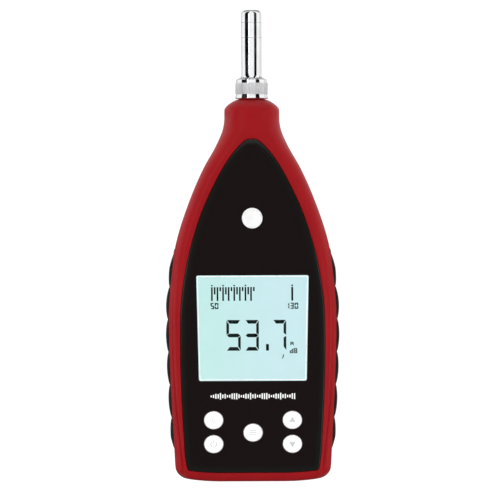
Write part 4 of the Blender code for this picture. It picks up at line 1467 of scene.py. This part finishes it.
def foot_fittings():
    jack = (
        (0, 8.4), (1.8, 8.4), (1.8, 1.0), (2.0, 0.7), (2.5, 0.7), (2.8, 1.0), (2.8, 4.8),
        (3.6, 4.8), (3.6, 9.6), (0, 9.6),
    )
    at = (FITTING_X, FITTING_Y, 0)
    socket = turned("output_jack_body", jack, "Z", at, 48)
    place(socket, "case", BLACK_PLASTIC, "black_plastic", ["output_jack"])
    sleeve = ((1.45, 0.75), (1.75, 0.75), (1.75, 8.0), (1.45, 8.0))
    place(turned("output_jack_sleeve", sleeve, "Z", at, 48), "case", NICKEL, "nickel")
    x, y = -FITTING_X, FITTING_Y
    profile = ((0, 1.0), (1.35, 1.0), (1.5, 1.15), (1.5, 4.9), (0, 4.9))
    trimmer = turned("trimmer_screw", profile, "Z", (x, y, 0), 40)
    cut(trimmer, block("slot", (x - 2, x + 2), (y - 0.3, y + 0.3), (-1, 1.7)))
    place(trimmer, "trimmer", BRASS, "brass", ["calibration_trimmer"])


# -------- inner parts

INNER_FINISHES = {
    "main_board": BOARD, "preamp_board": BOARD, "processor_chip": CHIP, "shield_can": STEEL,
    "lcd_frame": BLACK_PLASTIC, "backlight_panel": WHITE_PLASTIC, "connector_strip": STRIP,
    "lead_connector": WHITE_PLASTIC, "mic_lead": BLACK_PLASTIC, "mic_diaphragm": NICKEL,
    "mic_backplate": BRASS, "mic_contact_pin": BRASS, "board_screw_left": STEEL,
    "board_screw_right": STEEL, "battery_1": CELL_UP, "battery_2": CELL_DOWN,
    "battery_3": CELL_UP, "battery_4": CELL_DOWN,
}


def inner_parts():
    finishes = dict(INNER_FINISHES)
    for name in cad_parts:
        if name.startswith("switch_"):
            finishes[name] = BLACK_PLASTIC
        elif name.startswith("battery_spring") or name.startswith("contact_plate"):
            finishes[name] = NICKEL
    for name, material in finishes.items():
        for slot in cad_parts[name].material_slots:
            slot.material = material


# -------- studio

def emission_card(name, corners, faces, brightness, diffuse=0.0):
    """A staged surface that glows evenly, from its corners in metres."""
    mesh = bpy.data.meshes.new(name)
    mesh.from_pydata(corners, [], faces)
    mesh.shade_smooth()
    card = linked(name, mesh)
    material, _ = new_material(name)
    mesh.materials.append(shaded(material, {
        "Base Color": (diffuse, diffuse, diffuse),
        "Roughness": 1.0,
        "Specular IOR Level": 0.0,
        "Emission Color": (1, 1, 1),
        "Emission Strength": brightness,
    }))
    return card


def sweep(radius=9.0, height=6.0, bend=3.0):
    """A pale round floor that curves up into a wall. It doesn't light the object."""
    profile = [(0.01, FLOOR_Z), (radius - bend, FLOOR_Z)]
    for a in arc(0, 90, 10):
        profile.append((radius - bend + bend * math.sin(a), bend - bend * math.cos(a)))
    profile.append((radius, height))
    count, rows = 64, len(profile)
    corners = [(r * x, r * y, z) for x, y in circle(count) for r, z in profile]
    faces = [tuple(rows * k for k in range(count))]
    for k in range(count):
        start, following = rows * k, rows * ((k + 1) % count)
        for i in range(rows - 1):
            faces.append((start + i, following + i, following + i + 1, start + i + 1))
    floor = emission_card("floor", corners, faces, 1.0, 0.12)
    floor.visible_diffuse = False
    floor.visible_glossy = False
    floor.visible_transmission = False
    floor.visible_shadow = False


def surround(radius=2.2, low=-1.2, high=0.6):
    """A dim wall all round, seen only in reflections, so that colours stay deep at the edges."""
    count = 32
    corners = [(radius * x, radius * y, z) for z in (low, high) for x, y in circle(count)]
    faces = [(k, (k + 1) % count, (k + 1) % count + count, k + count) for k in range(count)]
    only_in_reflections(emission_card("surround", corners, faces, SURROUND))


def only_in_reflections(card):
    card.visible_camera = False
    card.visible_diffuse = False
    card.visible_shadow = False


def upright_card(name, start, end, low, high, brightness=0.0):
    """A card that stands between two places on the ground, seen only in reflections."""
    corners = [(*start, low), (*end, low), (*end, high), (*start, high)]
    only_in_reflections(emission_card(name, corners, [(0, 1, 2, 3)], brightness))


def around(degrees, distance=0.45):
    """A place on the ground at an angle from -Y towards +X."""
    a = math.radians(degrees)
    return (distance * math.sin(a), -distance * math.cos(a))


def area_light(name, at, aim_height, size, power, in_gloss):
    """A soft light aimed at the meter's axis. Only some of them show in its gloss."""
    data = bpy.data.lights.new(name, "AREA")
    data.shape = "RECTANGLE"
    data.size, data.size_y = size
    data.energy = power
    light = linked(name, data)
    light.location = at
    aim = Vector((0, 0, aim_height)) - Vector(at)
    light.rotation_euler = aim.to_track_quat("-Z", "Y").to_euler()
    light.visible_glossy = in_gloss


def soft_world():
    """Even grey light, brighter from above than from below."""
    world = bpy.data.worlds.new("studio")
    bpy.context.scene.world = world
    world.use_nodes = True
    tree = world.node_tree
    direction = tree.nodes.new("ShaderNodeTexCoord").outputs["Generated"]
    strength = ranged(tree, coordinate(tree, "Z", direction), WORLD_BELOW, WORLD_ABOVE, -1, 1)
    feed(tree.nodes["Background"], {"Color": (1, 1, 1), "Strength": strength})


def camera():
    data = bpy.data.cameras.new("camera")
    data.lens = LENS
    data.sensor_width = SENSOR
    made = linked("camera", data)
    made.location = (CAMERA_X, -FRAME_WIDTH * LENS / SENSOR, CAMERA_Z)
    made.rotation_euler = (math.radians(90), math.radians(CAMERA_ROLL), 0)
    bpy.context.scene.camera = made


def studio():
    soft_world()
    sweep()
    surround()
    upright_card("flag_front", (-0.28, -1.3), (0.28, -1.3), -0.2, 0.30)
    upright_card("flag_tip", (-0.10, -0.12), (0.10, -0.12), 0.13, 0.197)
    for i, (start, end, low, high, brightness) in enumerate(CARDS):
        upright_card(f"reflector_{i}", around(start), around(end), low, high, brightness)
    for light in LIGHTS:
        area_light(*light)
    camera()
    bpy.context.scene.view_settings.view_transform = "Standard"


front_shell()
face_panel()
window_and_cell()
readout()
scale_motif()
keys()
badge()
grips()
microphone()
rear_shell()
battery_door()
rear_fittings()
foot_fittings()
inner_parts()
studio()
